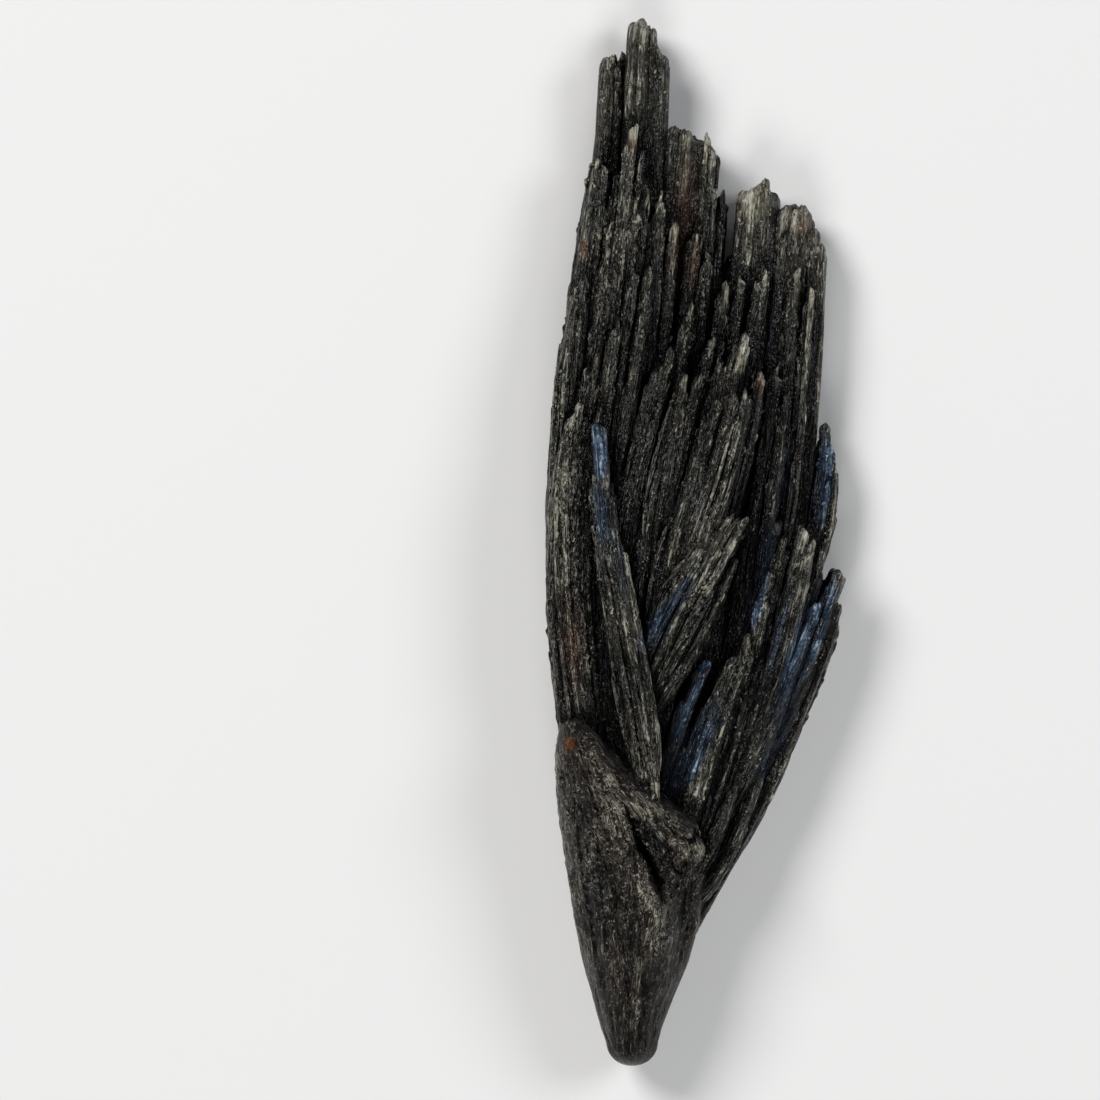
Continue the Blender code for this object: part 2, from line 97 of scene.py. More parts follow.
LEFT = [
    ("tier_a_left", [(606, 900), (571, 600), (584, 330), (602, 155)], [46, 46, 38, 24], [7.2, 8.0, 7.6, 7.0], [6.6, 7.2, 5.6, 3.6], (-0.2, 4, 8)),
    ("tier_a_inner", [(608, 880), (592, 600), (606, 330), (622, 160)], [26, 26, 24, 18], [7.6, 8.4, 8.0, 7.3], [6.2, 6.6, 5.4, 3.4], (0.2, 8, 4)),
    ("tier_a_mid", [(612, 880), (604, 560), (624, 330), (645, 147)], [42, 42, 36, 26], [7.6, 8.4, 8.2, 7.6], [6.2, 6.4, 5.4, 3.6], (-0.1, 14, 26)),
    ("tier_a_tip", [(606, 700), (606, 480), (616, 300), (633, 122)], [18, 18, 17, 13], [8.4, 8.8, 8.4, 7.8], [5.2, 5.2, 4.2, 2.6], (0.0, 16, 16)),
    ("tier_a_right", [(622, 860), (624, 560), (643, 380), (659, 186)], [30, 28, 26, 19], [8.0, 8.6, 8.4, 7.8], [6.2, 6.2, 5.4, 3.6], (0.1, 8, 14)),
    ("blade_675", [(634, 860), (642, 560), (658, 380), (674, 218)], [20, 22, 20, 14], [7.8, 8.2, 8.0, 7.6], [5.6, 5.8, 5.0, 3.2], (0.0, 8, 8)),
    ("flank_left", [(596, 800), (568, 600), (568, 420), (583, 268)], [46, 42, 34, 18], [9.2, 9.6, 9.0, 8.2], [8.0, 8.4, 6.6, 3.6], (0.3, 16, 6)),
    ("flank_inner", [(600, 780), (580, 560), (592, 400), (608, 240)], [24, 24, 22, 14], [9.0, 9.6, 9.0, 8.4], [6.2, 6.4, 5.2, 3.2], (0.1, 14, 6)),
    ("tier_b_left", [(598, 780), (580, 560), (585, 440), (598, 346)], [46, 46, 36, 22], [9.8, 10.2, 9.9, 9.3], [6.2, 6.2, 5.4, 3.6], (0.1, 14, 6)),
    ("tier_b_right", [(602, 760), (590, 560), (602, 430), (619, 316)], [26, 26, 24, 16], [9.8, 10.3, 10.0, 9.4], [6.0, 6.0, 5.2, 3.4], (0.2, 16, 6)),
    ("blade_636", [(604, 720), (604, 520), (617, 390), (635, 267)], [22, 20, 18, 12], [9.6, 9.8, 9.4, 8.8], [5.6, 5.4, 4.4, 2.8], (0.1, 10, 6)),
    ("blade_653", [(612, 720), (620, 520), (633, 390), (651, 261)], [22, 20, 18, 12], [9.6, 9.9, 9.6, 9.0], [5.6, 5.4, 4.4, 2.8], (0.2, 8, 6)),
    ("blade_650", [(608, 720), (612, 520), (629, 400), (650, 286)], [16, 15, 14, 9], [9.9, 10.3, 10.0, 9.5], [5.4, 5.2, 4.2, 2.4], (0.2, 8, 4)),
    ("flank_front", [(600, 830), (577, 640), (570, 500), (580, 400)], [60, 54, 44, 24], [10.2, 10.7, 10.8, 10.2], [7.0, 7.2, 5.8, 3.8], (0.0, 12, 8)),
    ("flank_step", [(604, 800), (585, 620), (586, 500), (596, 404)], [30, 28, 26, 18], [10.2, 10.8, 11.0, 10.5], [6.4, 6.6, 5.4, 3.6], (0.2, 12, 6)),
    ("flank_low", [(598, 800), (576, 690), (564, 600), (563, 520)], [50, 44, 36, 18], [10.0, 10.5, 10.8, 10.4], [6.6, 6.6, 5.6, 3.2], (0.2, 20, 4)),
]
CENTRE = [
    ("blade_696", [(644, 860), (662, 560), (680, 380), (696, 227)], [26, 26, 24, 18], [7.0, 7.2, 7.0, 6.6], [5.4, 5.4, 4.6, 3.0], (0.1, 10, 8)),
    ("blade_708", [(648, 860), (672, 560), (692, 380), (708, 246)], [20, 20, 20, 14], [7.2, 7.4, 7.2, 6.8], [5.4, 5.4, 4.6, 3.0], (0.1, 10, 8)),
    ("blade_727", [(655, 860), (690, 560), (709, 400), (727, 277)], [18, 18, 16, 11], [7.4, 7.6, 7.2, 6.8], [5.4, 5.4, 4.4, 2.8], (0.2, 8, 6)),
    ("blade_744", [(662, 860), (706, 560), (727, 380), (743, 273)], [20, 20, 18, 13], [6.8, 7.0, 6.8, 6.6], [5.2, 5.2, 4.4, 2.8], (0.2, 8, 5)),
    ("blade_765", [(670, 860), (722, 600), (748, 380), (765, 262)], [24, 24, 22, 17], [6.8, 7.0, 6.8, 6.6], [5.2, 5.2, 4.4, 2.8], (0.2, 10, 5)),
    ("blade_655_low", [(634, 720), (634, 560), (646, 470), (660, 390)], [22, 20, 18, 12], [9.6, 9.9, 9.6, 9.1], [5.4, 5.2, 4.4, 2.8], (0.1, 10, 6)),
    ("blade_693", [(636, 770), (650, 540), (672, 404), (692, 300)], [8, 22, 19, 12], [8.2, 9.6, 9.2, 8.8], [5.0, 5.6, 4.6, 3.0], (0.1, 12, 6)),
    ("blade_715", [(644, 772), (676, 540), (695, 424), (712, 334)], [8, 18, 16, 11], [8.2, 9.4, 9.0, 8.6], [5.0, 5.4, 4.4, 2.8], (0.1, 8, 6)),
    ("blade_723", [(650, 772), (686, 540), (707, 424), (723, 338)], [8, 15, 13, 8], [8.0, 9.0, 8.6, 8.2], [5.0, 5.2, 4.2, 2.6], (0.1, 6, 4)),
    ("slab_672", [(606, 720), (627, 520), (647, 430), (671, 341)], [38, 36, 30, 20], [10.2, 10.6, 10.2, 9.6], [5.8, 5.8, 4.8, 3.2], (0.3, 16, 8)),
    ("slab_660", [(606, 720), (618, 560), (634, 460), (656, 366)], [26, 24, 21, 13], [10.4, 10.9, 10.5, 9.9], [5.8, 5.6, 4.6, 3.0], (0.2, 14, 6)),
    ("slab_645", [(604, 720), (608, 600), (622, 500), (645, 428)], [24, 22, 19, 11], [10.8, 11.2, 10.8, 10.2], [5.6, 5.4, 4.4, 2.8], (0.2, 12, 6)),
    ("slab_745", [(656, 770), (693, 532), (719, 430), (745, 330)], [12, 32, 30, 20], [8.4, 10.7, 10.4, 9.8], [5.4, 6.0, 5.0, 3.4], (0.3, 22, 5)),
    ("slab_722", [(648, 768), (679, 560), (701, 452), (722, 356)], [10, 26, 22, 14], [8.6, 10.6, 10.3, 9.7], [5.4, 5.6, 4.8, 3.2], (0.2, 14, 6)),
    ("blade_763", [(672, 780), (727, 520), (749, 438), (763, 369)], [8, 18, 16, 11], [8.0, 10.0, 9.8, 9.4], [5.0, 5.6, 4.6, 3.0], (0.0, 8, 5)),
    ("blade_687", [(640, 760), (651, 540), (668, 446), (686, 371)], [10, 26, 22, 13], [9.0, 11.3, 11.0, 10.4], [5.0, 5.4, 4.4, 3.0], (0.5, 20, 4)),
    ("blade_700", [(644, 762), (666, 540), (683, 446), (700, 370)], [8, 18, 17, 14], [8.8, 10.9, 10.6, 10.1], [5.0, 5.4, 4.4, 3.0], (0.0, 5, 4)),
    ("slab_740", [(652, 772), (689, 562), (717, 470), (741, 384)], [14, 48, 46, 32], [9.0, 11.9, 11.5, 11.0], [5.4, 5.8, 5.0, 3.6], (0.3, 10, 6)),
    ("slab_718", [(648, 766), (672, 576), (695, 480), (717, 396)], [10, 28, 26, 18], [9.2, 12.1, 11.7, 11.2], [5.0, 5.6, 4.8, 3.4], (0.2, 14, 5)),
    ("blade_665", [(634, 764), (634, 620), (648, 524), (668, 446)], [8, 20, 17, 10], [9.4, 11.5, 11.1, 10.6], [5.0, 5.0, 4.2, 2.6], (0.2, 12, 4)),
    ("blade_679", [(640, 768), (650, 640), (663, 560), (680, 500)], [8, 22, 20, 12], [9.4, 12.0, 11.8, 11.3], [5.0, 5.0, 4.2, 2.8], (0.2, 10, 4)),
    ("feather", [(628, 716), (668, 618), (702, 558), (731, 508)], [16, 44, 36, 22], [12.8, 13.0, 12.6, 12.1], [5.4, 5.4, 4.6, 3.2], (0.2, 12, 6)),
    ("feather_right", [(632, 724), (683, 620), (715, 562), (743, 512)], [14, 32, 28, 17], [12.6, 12.8, 12.4, 11.9], [5.4, 5.4, 4.6, 3.2], (0.2, 8, 6)),
    ("feather_side", [(636, 736), (686, 650), (712, 602), (735, 556)], [12, 28, 22, 12], [12.0, 12.3, 12.0, 11.5], [5.2, 5.0, 4.2, 2.8], (0.2, 14, 4)),
    ("feather_low", [(634, 742), (661, 690), (684, 652), (707, 618)], [12, 30, 30, 20], [12.4, 12.6, 12.2, 11.8], [5.4, 5.2, 4.4, 3.0], (0.2, 12, 6)),
    ("needle_706", [(662, 790), (674, 742), (690, 698), (706, 657)], [16, 14, 12, 9], [10.6, 11.0, 10.8, 10.5], [5.4, 5.0, 4.0, 2.6], (0.0, 5, 4)),
    ("long_front", [(652, 812), (636, 710), (612, 570), (598, 470)], [20, 38, 32, 25], [13.6, 14.2, 13.5, 12.8], [6.2, 6.6, 5.2, 3.2], (-0.3, 6, 10)),
    ("long_blue", [(640, 760), (624, 650), (604, 530), (597, 418)], [20, 22, 19, 11], [13.2, 13.7, 13.1, 12.3], [5.8, 5.6, 4.4, 2.6], (0.1, 16, 10)),
    ("long_side", [(656, 812), (650, 760), (643, 710), (637, 670)], [18, 20, 18, 12], [13.6, 14.0, 13.6, 13.0], [5.6, 5.4, 4.6, 2.8], (0.0, 8, 6)),
    ("long_under", [(640, 800), (619, 720), (605, 660), (598, 600)], [18, 18, 14, 9], [10.6, 10.9, 10.9, 10.6], [5.4, 5.2, 4.6, 2.8], (0.0, 8, 6)),
]
RIGHT = [
    ("blade_798", [(690, 860), (758, 600), (783, 420), (797, 264)], [18, 18, 16, 12], [6.8, 7.0, 6.8, 6.4], [5.0, 5.0, 4.2, 2.6], (0.0, 8, 8)),
    ("blade_812", [(694, 860), (772, 600), (797, 430), (811, 285)], [18, 18, 16, 12], [6.6, 6.8, 6.6, 6.2], [5.0, 5.0, 4.2, 2.6], (0.0, 8, 8)),
    ("blade_778", [(708, 760), (748, 540), (764, 450), (778, 362)], [16, 15, 13, 9], [8.0, 8.2, 7.9, 7.5], [5.2, 5.0, 4.0, 2.6], (0.1, 8, 5)),
    ("blade_788", [(738, 760), (766, 540), (779, 450), (787, 386)], [16, 14, 12, 8], [8.2, 8.4, 8.0, 7.6], [5.4, 5.2, 4.2, 2.8], (0.1, 8, 5)),
    ("blade_760_blue", [(700, 820), (733, 660), (751, 580), (765, 518)], [24, 22, 19, 13], [8.0, 8.2, 8.0, 7.6], [5.6, 5.4, 4.6, 3.0], (0.0, 5, 5)),
    ("blade_775", [(700, 820), (741, 660), (761, 585), (776, 516)], [24, 22, 18, 12], [8.2, 8.5, 8.3, 7.9], [5.6, 5.4, 4.6, 3.0], (0.0, 5, 5)),
    ("blade_783", [(712, 830), (753, 680), (770, 600), (784, 533)], [18, 17, 15, 9], [8.8, 9.1, 8.9, 8.4], [5.6, 5.4, 4.4, 2.8], (0.0, 8, 5)),
    ("blade_771", [(708, 800), (742, 690), (757, 620), (771, 566)], [14, 13, 11, 7], [9.4, 9.7, 9.4, 9.0], [5.4, 5.2, 4.2, 2.6], (0.0, 6, 4)),
    ("slab_812", [(704, 872), (768, 690), (792, 605), (809, 524)], [14, 34, 32, 22], [8.8, 9.2, 9.0, 8.4], [6.2, 6.2, 5.4, 3.6], (-0.2, 6, 22)),
    ("slab_822", [(700, 880), (777, 690), (804, 610), (824, 548)], [10, 26, 24, 16], [8.0, 8.4, 8.2, 7.7], [6.0, 6.0, 5.0, 3.4], (0.0, 6, 12)),
    ("edge_front", [(682, 905), (762, 745), (808, 655), (843, 568)], [12, 42, 37, 19], [7.8, 8.2, 7.8, 7.2], [6.2, 6.2, 5.4, 3.6], (0.0, 10, 24)),
    ("edge_blue", [(684, 895), (751, 760), (787, 672), (818, 596)], [12, 32, 28, 16], [8.4, 8.9, 8.6, 8.0], [6.0, 6.0, 5.0, 3.2], (0.2, 22, 8)),
    ("edge_skirt", [(638, 1034), (699, 904), (764, 776), (842, 607)], [8, 26, 36, 17], [6.4, 7.0, 7.2, 6.6], [4.6, 5.8, 5.6, 4.0], (0.0, 8, 16)),
    ("blade_750", [(676, 868), (708, 750), (729, 690), (749, 629)], [18, 40, 32, 18], [10.8, 11.0, 10.6, 10.0], [6.4, 6.2, 5.2, 3.6], (0.3, 28, 5)),
    ("blade_735_low", [(674, 864), (699, 770), (716, 710), (731, 660)], [12, 24, 20, 11], [10.6, 11.1, 10.7, 10.2], [6.0, 5.8, 4.8, 3.0], (0.1, 14, 5)),
    ("blue_face", [(660, 842), (679, 775), (694, 735), (710, 694)], [14, 28, 24, 13], [10.0, 10.4, 10.2, 9.8], [6.0, 5.8, 4.8, 3.0], (0.2, 12, 5)),
    ("blade_765_low", [(686, 876), (723, 770), (744, 705), (762, 652)], [12, 24, 20, 12], [9.6, 10.0, 9.6, 9.0], [6.0, 5.8, 4.8, 3.0], (0.1, 10, 5)),
    ("blade_745_foot", [(676, 916), (712, 840), (728, 800), (742, 762)], [8, 20, 17, 10], [9.4, 9.8, 9.4, 9.0], [6.2, 5.8, 4.8, 3.0], (0.0, 8, 6)),
    ("root_ridge_a", [(664, 930), (704, 862), (727, 812), (741, 768)], [10, 19, 16, 10], [9.2, 9.7, 9.4, 9.0], [6.6, 6.4, 5.2, 3.4], (0.0, 10, 10)),
    ("root_ridge_b", [(650, 950), (712, 875), (744, 810), (765, 752)], [10, 24, 22, 14], [8.2, 8.4, 8.2, 7.8], [6.6, 6.4, 5.2, 3.4], (0.0, 10, 10)),
]

# Where a face shows a colour of its own: x, y, half-length, half-width, lean in degrees right of
# vertical, strength, and the least height it shows at.
BLUES = [
    (597, 446, 30, 9, -5, 1.0, 11.8), (601, 515, 40, 8, -8, 0.35, 12.0), (606, 668, 30, 5, -14, 0.25, 10.2),
    (657, 624, 28, 10, 32, 0.85, 11.0), (676, 600, 34, 7, 32, 0.4, 11.6), (691, 700, 46, 8, 23, 1.0, 9.0),
    (692, 746, 44, 14, 26, 1.0, 7.2), (760, 580, 46, 7, 12, 0.9, 5.0), (775, 640, 60, 6, 17, 0.3, 7.6),
    (808, 640, 64, 13, 21, 0.8, 6.4), (789, 706, 24, 6, 21, 1.0, 7.0), (776, 745, 40, 8, 24, 0.45, 7.0),
    (824, 480, 52, 10, 8, 0.55, 4.0), (786, 470, 80, 5, 9, 0.3, 4.6), (770, 330, 60, 6, 6, 0.2, 4.6),
    (655, 842, 26, 12, -40, 0.16, 12.0), (596, 885, 30, 8, -12, 0.14, 10.0), (620, 560, 40, 6, -10, 0.2, 12.4),
]
CREAMS = [
    (751, 200, 20, 17, 5, 1.4, 3.5), (706, 140, 9, 12, 8, 0.9, 4.2), (803, 222, 14, 12, 5, 0.8, 4.0),
    (634, 132, 12, 8, 5, 0.75, 6.6), (646, 60, 50, 14, 8, 0.35, 4.6), (640, 30, 18, 10, 0, 0.3, 4.6),
    (745, 345, 20, 10, 14, 0.5, 9.2), (728, 388, 14, 24, 14, 0.55, 10.4), (762, 380, 14, 7, 10, 0.7, 9.0),
    (715, 545, 46, 16, 30, 0.35, 11.6), (588, 356, 12, 12, 8, 0.35, 9.0), (686, 384, 16, 8, 14, 0.4, 10.0),
    (812, 534, 10, 10, 30, 0.7, 7.4), (748, 640, 16, 8, 18, 0.5, 9.4), (640, 640, 30, 14, -14, 0.25, 12.6),
    (693, 306, 12, 7, 14, 0.5, 8.2), (656, 168, 18, 10, 12, 0.35, 7.0), (612, 90, 50, 14, 4, 0.22, 4.0), (690, 160, 40, 24, 8, 0.25, 4.2), (806, 262, 50, 16, 4, 0.12, 4.0),
]
RUSTS = [
    (570, 744, 8, 5, 0, 1.3, 9.0), (716, 392, 8, 10, 20, 0.5, 10.6), (762, 386, 12, 5, 8, 0.4, 9.0), (584, 247, 10, 4, 8, 0.35, 6.4),
    (684, 210, 60, 10, 6, 0.15, 4.8), (694, 265, 20, 6, 8, 0.2, 6.0), (634, 142, 8, 4, 5, 0.35, 6.6), (803, 226, 10, 8, 0, 0.3, 4.2),
    (572, 640, 46, 10, -4, 0.13, 10.0),
]


# ------------------------------------------------------------------ noise, the same on every run
def chance(ix, iy, iz, seed):
    h = (ix * 73856093) ^ (iy * 19349663) ^ (iz * 83492791) ^ (seed * 40503 + 9176)
    h = ((h ^ (h >> 13)) * 1274126177) & 0xFFFFFFFF
    h = ((h ^ (h >> 16)) * 2246822519) & 0xFFFFFFFF
    return ((h ^ (h >> 15)) & 0xFFFFFF) / 8388607.5 - 1.0


def noise(x, y=0.0, z=0.0, seed=0):
    """Smooth noise from -1 to 1 on a unit lattice."""
    x, y, z = np.broadcast_arrays(np.asarray(x, float), np.asarray(y, float), np.asarray(z, float))
    ix, iy, iz = (np.floor(v).astype(np.int64) for v in (x, y, z))
    fx, fy, fz = x - ix, y - iy, z - iz
    sx, sy, sz = (f * f * (3 - 2 * f) for f in (fx, fy, fz))
    out = 0.0
    for i in (0, 1):
        for j in (0, 1):
            for k in (0, 1):
                weight = (sx if i else 1 - sx) * (sy if j else 1 - sy) * (sz if k else 1 - sz)
                out = out + weight * chance(ix + i, iy + j, iz + k, seed)
    return out


def smooth(a, b, x):
    t = np.clip((x - a) / (b - a), 0, 1)
    return t * t * (3 - 2 * t)


def shingles(u, v, wide, long, seed, raised=0.75):
    """Overlapping broken laths: each rises gently along v and drops at its own end. From 0 to 1."""
    u = u / wide + 0.35 * noise(v / (long * 2.5), seed=seed + 31)
    lane = np.floor(u).astype(np.int64)
    zero = np.zeros_like(lane)
    t = v / (long * (1.0 + 0.45 * chance(lane, zero, zero, seed))) + 7.3 * chance(lane, zero + 3, zero, seed)
    cell = np.floor(t)
    f = t - cell
    cell = cell.astype(np.int64)
    tall = 0.5 + 0.5 * chance(lane, cell, zero + 5, seed)
    side = u - lane
    round_ = smooth(0.0, 0.22, side) * smooth(1.0, 0.78, side)
    kept = np.where(chance(lane, cell, zero + 9, seed) < raised * 2 - 1, 1.0, 0.25)
    return tall * kept * (0.35 + 0.65 * f) * (0.45 + 0.55 * round_)


def seed_of(name):
    value = 17
    for c in name:
        value = (value * 131 + ord(c)) % 1000003
    return value


# ------------------------------------------------------------------ spines
class Spine:
    """A bundle's path with its width, top and thickness, read by distance from its base in mm."""

    def __init__(self, spec):
        self.name, path, widths, tops, depths, (self.peak, self.left, self.right) = spec
        n = 200
        t = np.linspace(0, 1, n)

        def along(values):
            v = np.asarray(values, float)
            m = len(v) - 1
            i = np.minimum((t * m).astype(int), m - 1)
            u = t * m - i
            ext = np.concatenate([[2 * v[0] - v[1]], v, [2 * v[-1] - v[-2]]])
            p, a, b, q = ext[i], ext[i + 1], ext[i + 2], ext[i + 3]
            return 0.5 * (2 * a + (b - p) * u + (2 * p - 5 * a + 4 * b - q) * u**2 + (3 * a - p - 3 * b + q) * u**3)

        x = (along([p[0] for p in path]) - CENTRE_X) * UNIT
        y = (CENTRE_Y - along([p[1] for p in path])) * UNIT
        self.l = np.concatenate([[0], np.cumsum(np.hypot(np.diff(x), np.diff(y)))])
        self.length = self.l[-1]
        tx, ty = np.gradient(x, self.l), np.gradient(y, self.l)
        s = np.hypot(tx, ty)
        self.x, self.y = x, y
        self.ax, self.ay = ty / s, -tx / s  # across, to the right of the way it runs
        self.half = along(widths) * UNIT / 2
        self.top, self.depth = along(tops), along(depths)
        self.left, self.right = self.left * UNIT, self.right * UNIT

    def at(self, l):
        read = lambda v: np.interp(l, self.l, v)
        over = np.maximum(0, l - self.length)
        ax, ay = read(self.ax), read(self.ay)
        return (read(self.x) - ay * over, read(self.y) + ax * over, ax, ay, read(self.half), read(self.top), read(self.depth))

    def drop(self, a):
        """How far short of the tip the bundle ends at a across it."""
        return self.right * np.maximum(0, a - self.peak) / (1 - self.peak) + self.left * np.maximum(0, self.peak - a) / (1 + self.peak)


SQUARE = 3.0  # how square a bundle's cross-section is


def outline(angle, square):
    c, s = np.cos(angle), np.sin(angle)
    return np.sign(c) * np.abs(c) ** (2 / square), np.sign(s) * np.abs(s) ** (2 / square)


def spaced_angles(half, deep, square, front, back):
    """Angles round a cross-section that stand front mm apart on its front half and back mm on its back."""
    dense = np.linspace(-math.pi, math.pi, 721)
    a, b = outline(dense, square)
    px, py = a * half, b * deep
    step = np.hypot(np.diff(px), np.diff(py))
    gap = np.where((b[1:] + b[:-1]) / 2 > -0.3, front, back)
    count = np.concatenate([[0], np.cumsum(step / gap)])
    n = max(10, int(round(count[-1])))
    return np.interp(np.arange(n) / n * count[-1], count, dense)


# ------------------------------------------------------------------ meshes
class Shape:
    """A closed tube of rings, with its own markings at each vertex."""

    def __init__(self, points, flow, tone):
        # points, flow and tone are rings by columns by 3, in mm
        self.grid = points
        k, m = points.shape[:2]
        flat = lambda v: v.reshape(-1, 3)
        ends = lambda v: np.stack([v[0].mean(0), v[-1].mean(0)])
        self.points = np.concatenate([flat(points), ends(points)])
        self.flow = np.concatenate([flat(flow), ends(flow)])
        self.tone = np.concatenate([flat(tone), ends(tone)])
        i, j = np.meshgrid(np.arange(k - 1), np.arange(m), indexing="ij")
        a, b = i * m + j, i * m + (j + 1) % m
        self.quads = np.stack([a, b, b + m, a + m], -1).reshape(-1, 4)
        j = np.arange(m)
        first, last = k * m, k * m + 1
        self.tris = np.concatenate([
            np.stack([(j + 1) % m, j, np.full(m, first)], -1),
            np.stack([(k - 1) * m + j, (k - 1) * m + (j + 1) % m, np.full(m, last)], -1),
        ])

    @classmethod
    def loose(cls, points, flow, tone, quads):
        """Several small closed solids that stay clear of one another, as one shape."""
        made = cls.__new__(cls)
        made.points, made.flow, made.tone, made.quads, made.tris = points, flow, tone, quads, np.zeros((0, 3), int)
        return made

    def volume(self):
        p = self.points
        t = np.concatenate([self.tris, self.quads[:, [0, 1, 2]], self.quads[:, [0, 2, 3]]])
        return np.einsum("ij,ij->i", p[t[:, 0]], np.cross(p[t[:, 1]], p[t[:, 2]])).sum() / 6


def spots(points, table):
    """How strongly each point takes the colour of a table of spots."""
    px, py, z = points[:, 0] / UNIT + CENTRE_X, CENTRE_Y - points[:, 1] / UNIT, points[:, 2]
    out = np.zeros(len(points))
    for x, y, long, wide, lean, strength, low in table:
        c, s = math.cos(math.radians(lean)), math.sin(math.radians(lean))
        dx, dy = px - x, py - y
        up, across = (s * dx - c * dy) / long, (c * dx + s * dy) / wide
        out = np.maximum(out, strength * np.exp(-(up**2 + across**2) ** 1.4) * smooth(low - 0.5, low + 0.2, z))
    return out


def mesh_of(shape, name):
    mesh = bpy.data.meshes.new(name)
    p = shape.points * MM
    corners = np.concatenate([shape.quads.ravel(), shape.tris.ravel()]).astype(np.int32)
    sizes = np.concatenate([np.full(len(shape.quads), 4), np.full(len(shape.tris), 3)])
    mesh.vertices.add(len(p))
    mesh.vertices.foreach_set("co", p.astype(np.float32).ravel())
    mesh.loops.add(len(corners))
    mesh.loops.foreach_set("vertex_index", corners)
    mesh.polygons.add(len(sizes))
    mesh.polygons.foreach_set("loop_start", np.concatenate([[0], np.cumsum(sizes)[:-1]]).astype(np.int32))
    mesh.update(calc_edges=True)
    tint = np.stack([spots(shape.points, BLUES), spots(shape.points, CREAMS), spots(shape.points, RUSTS)], -1)
    for key, values in (("flow", shape.flow), ("tone", shape.tone), ("tint", tint)):
        layer = mesh.attributes.new(key, "FLOAT_VECTOR", "CORNER")
        layer.data.foreach_set("vector", values[corners].astype(np.float32).ravel())
    return mesh


# ------------------------------------------------------------------ bundles
RING = 0.62  # mm between rings
INSET = 0.24  # mm that a core stands below the faces of its laths
WORN = ("spire_main", "spire_left", "spire_right", "tower_middle", "tower_right")


# faces that stay smooth and flat, with few splinters on them
CALM = ("blue_face", "needle", "edge_blue", "edge_front", "slab_812", "blade_760", "blade_775", "long_blue", "blade_735_low", "long_side")


def worn_down(name):
    return name.startswith(WORN)


def rings_for(start, end, zone, step=RING):
    """Distances along a bundle, closer together where its tip is rounded off."""
    body = np.arange(start, max(start + step, end - zone), step)
    tip = np.linspace(max(start + step, end - zone), end - 0.9, max(3, int(zone / (step * 0.8))))
    every = np.concatenate([body, tip, end - np.array([0.6, 0.34, 0.15, 0.04, 0.0])])
    every = np.sort(every)
    return every[np.concatenate([[True], np.diff(every) > 0.03])]


def rounded(left, over):
    """How much of its width a tip keeps, left mm from its end, when the last over mm are rounded."""
    return np.sqrt(np.clip(1 - np.clip(1 - left / over, 0, 1) ** 2, 0, 1))


def core(spine, start=0.0):
    """The bundle's body: a grooved blade, a little lower than the laths that cover it."""
    s = seed_of(spine.name)
    worn = worn_down(spine.name)
    mid = spine.length * 0.7
    _, _, _, _, half, _, depth = spine.at(mid)
    angles = spaced_angles(float(half), float(depth) / 2, SQUARE, 0.27 if worn else 0.32, 0.7)
    a, b = outline(angles, SQUARE)
    m = len(angles)
    arc = np.concatenate([[0], np.cumsum(np.hypot(np.diff(a * half), np.diff(b * depth / 2)))])
    rag = 0.9 + 1.4 * np.abs(noise(arc / 1.3, seed=s)) + 0.4 * np.abs(noise(arc / 0.6, seed=s + 1)) + 0.6 * smooth(0.2, -0.6, b)
    if worn:
        rag = 0.05 + 0.9 * np.abs(noise(arc / 1.8, seed=s)) + 0.4 * smooth(0.2, -0.6, b)
    rag[-1] = (rag[0] + rag[-1]) / 2
    ends = spine.length - spine.drop(a) - rag
    zone = min(spine.length * 0.5, spine.length - ends.min() + 3.0)
    l = rings_for(start, spine.length, zone, 0.8)
    k = len(l)
    base = spine.length - zone
    L = np.where(l[:, None] < base, l[:, None], base + (l[:, None] - base) * (ends[None] - base) / zone)
    x, y, ax, ay, w, top, depth = spine.at(L)
    drift = 0.35 * noise(L / 9.0, arc[None] / 3.0, seed=s + 7)
    broad = noise((arc[None] + drift) / 1.1, L / 14.0, seed=s + 3)
    if worn:
        flute = 1 - 2 * np.abs(noise((arc[None] + drift) / 1.5, L / 22.0, seed=s + 15))
        ridge = -0.10 + 0.22 * (0.5 - flute) + 0.1 * broad
    else:
        ridge = -INSET + 0.16 * broad + 0.1 * noise((arc[None] + drift) / 0.4, L / 6.0, seed=s + 2)
    wrap = smooth(0, 0.5, arc) * smooth(arc[-1] + 0.3, arc[-1] - 0.2, arc)
    ridge = ridge * (0.25 + 0.75 * wrap[None])
    left = spine.length - l[:, None]
    grow = smooth(-1.0, 5.0, l[:, None])
    na, nb = np.sign(a) * np.abs(a) ** (SQUARE - 1) / w, np.sign(b) * np.abs(b) ** (SQUARE - 1) / (depth / 2)
    size = np.hypot(na, nb) + 1e-9
    over = 1.0 if worn else 0.9
    across = a * w * (0.62 + 0.38 * rounded(left, over)) * (0.4 + 0.6 * grow) + na / size * ridge
    up = b * depth / 2 * (0.4 + 0.6 * rounded(left, over * 1.5)) + nb / size * ridge - 1.2 * (1 - grow)
    z = top - depth / 2 + up
    points = np.stack([x + ax * across, y + ay * across, z], -1)
    flow = np.stack([np.broadcast_to(arc[None] + 3.1 * (s % 97), (k, m)), L + 1.7 * (s % 61), np.full((k, m), float(s % 251))], -1)
    # lighter on the ridges and darker in the grooves: partly wear, partly painted shade in the grooves
    height = np.clip(0.4 + ridge / 0.6, 0, 1)
    tone = np.stack([height, smooth(2.0, 0.2, np.broadcast_to(left, (k, m))), np.full((k, m), (s % 89) / 89.0)], -1)
    return Shape(points, flow, tone)


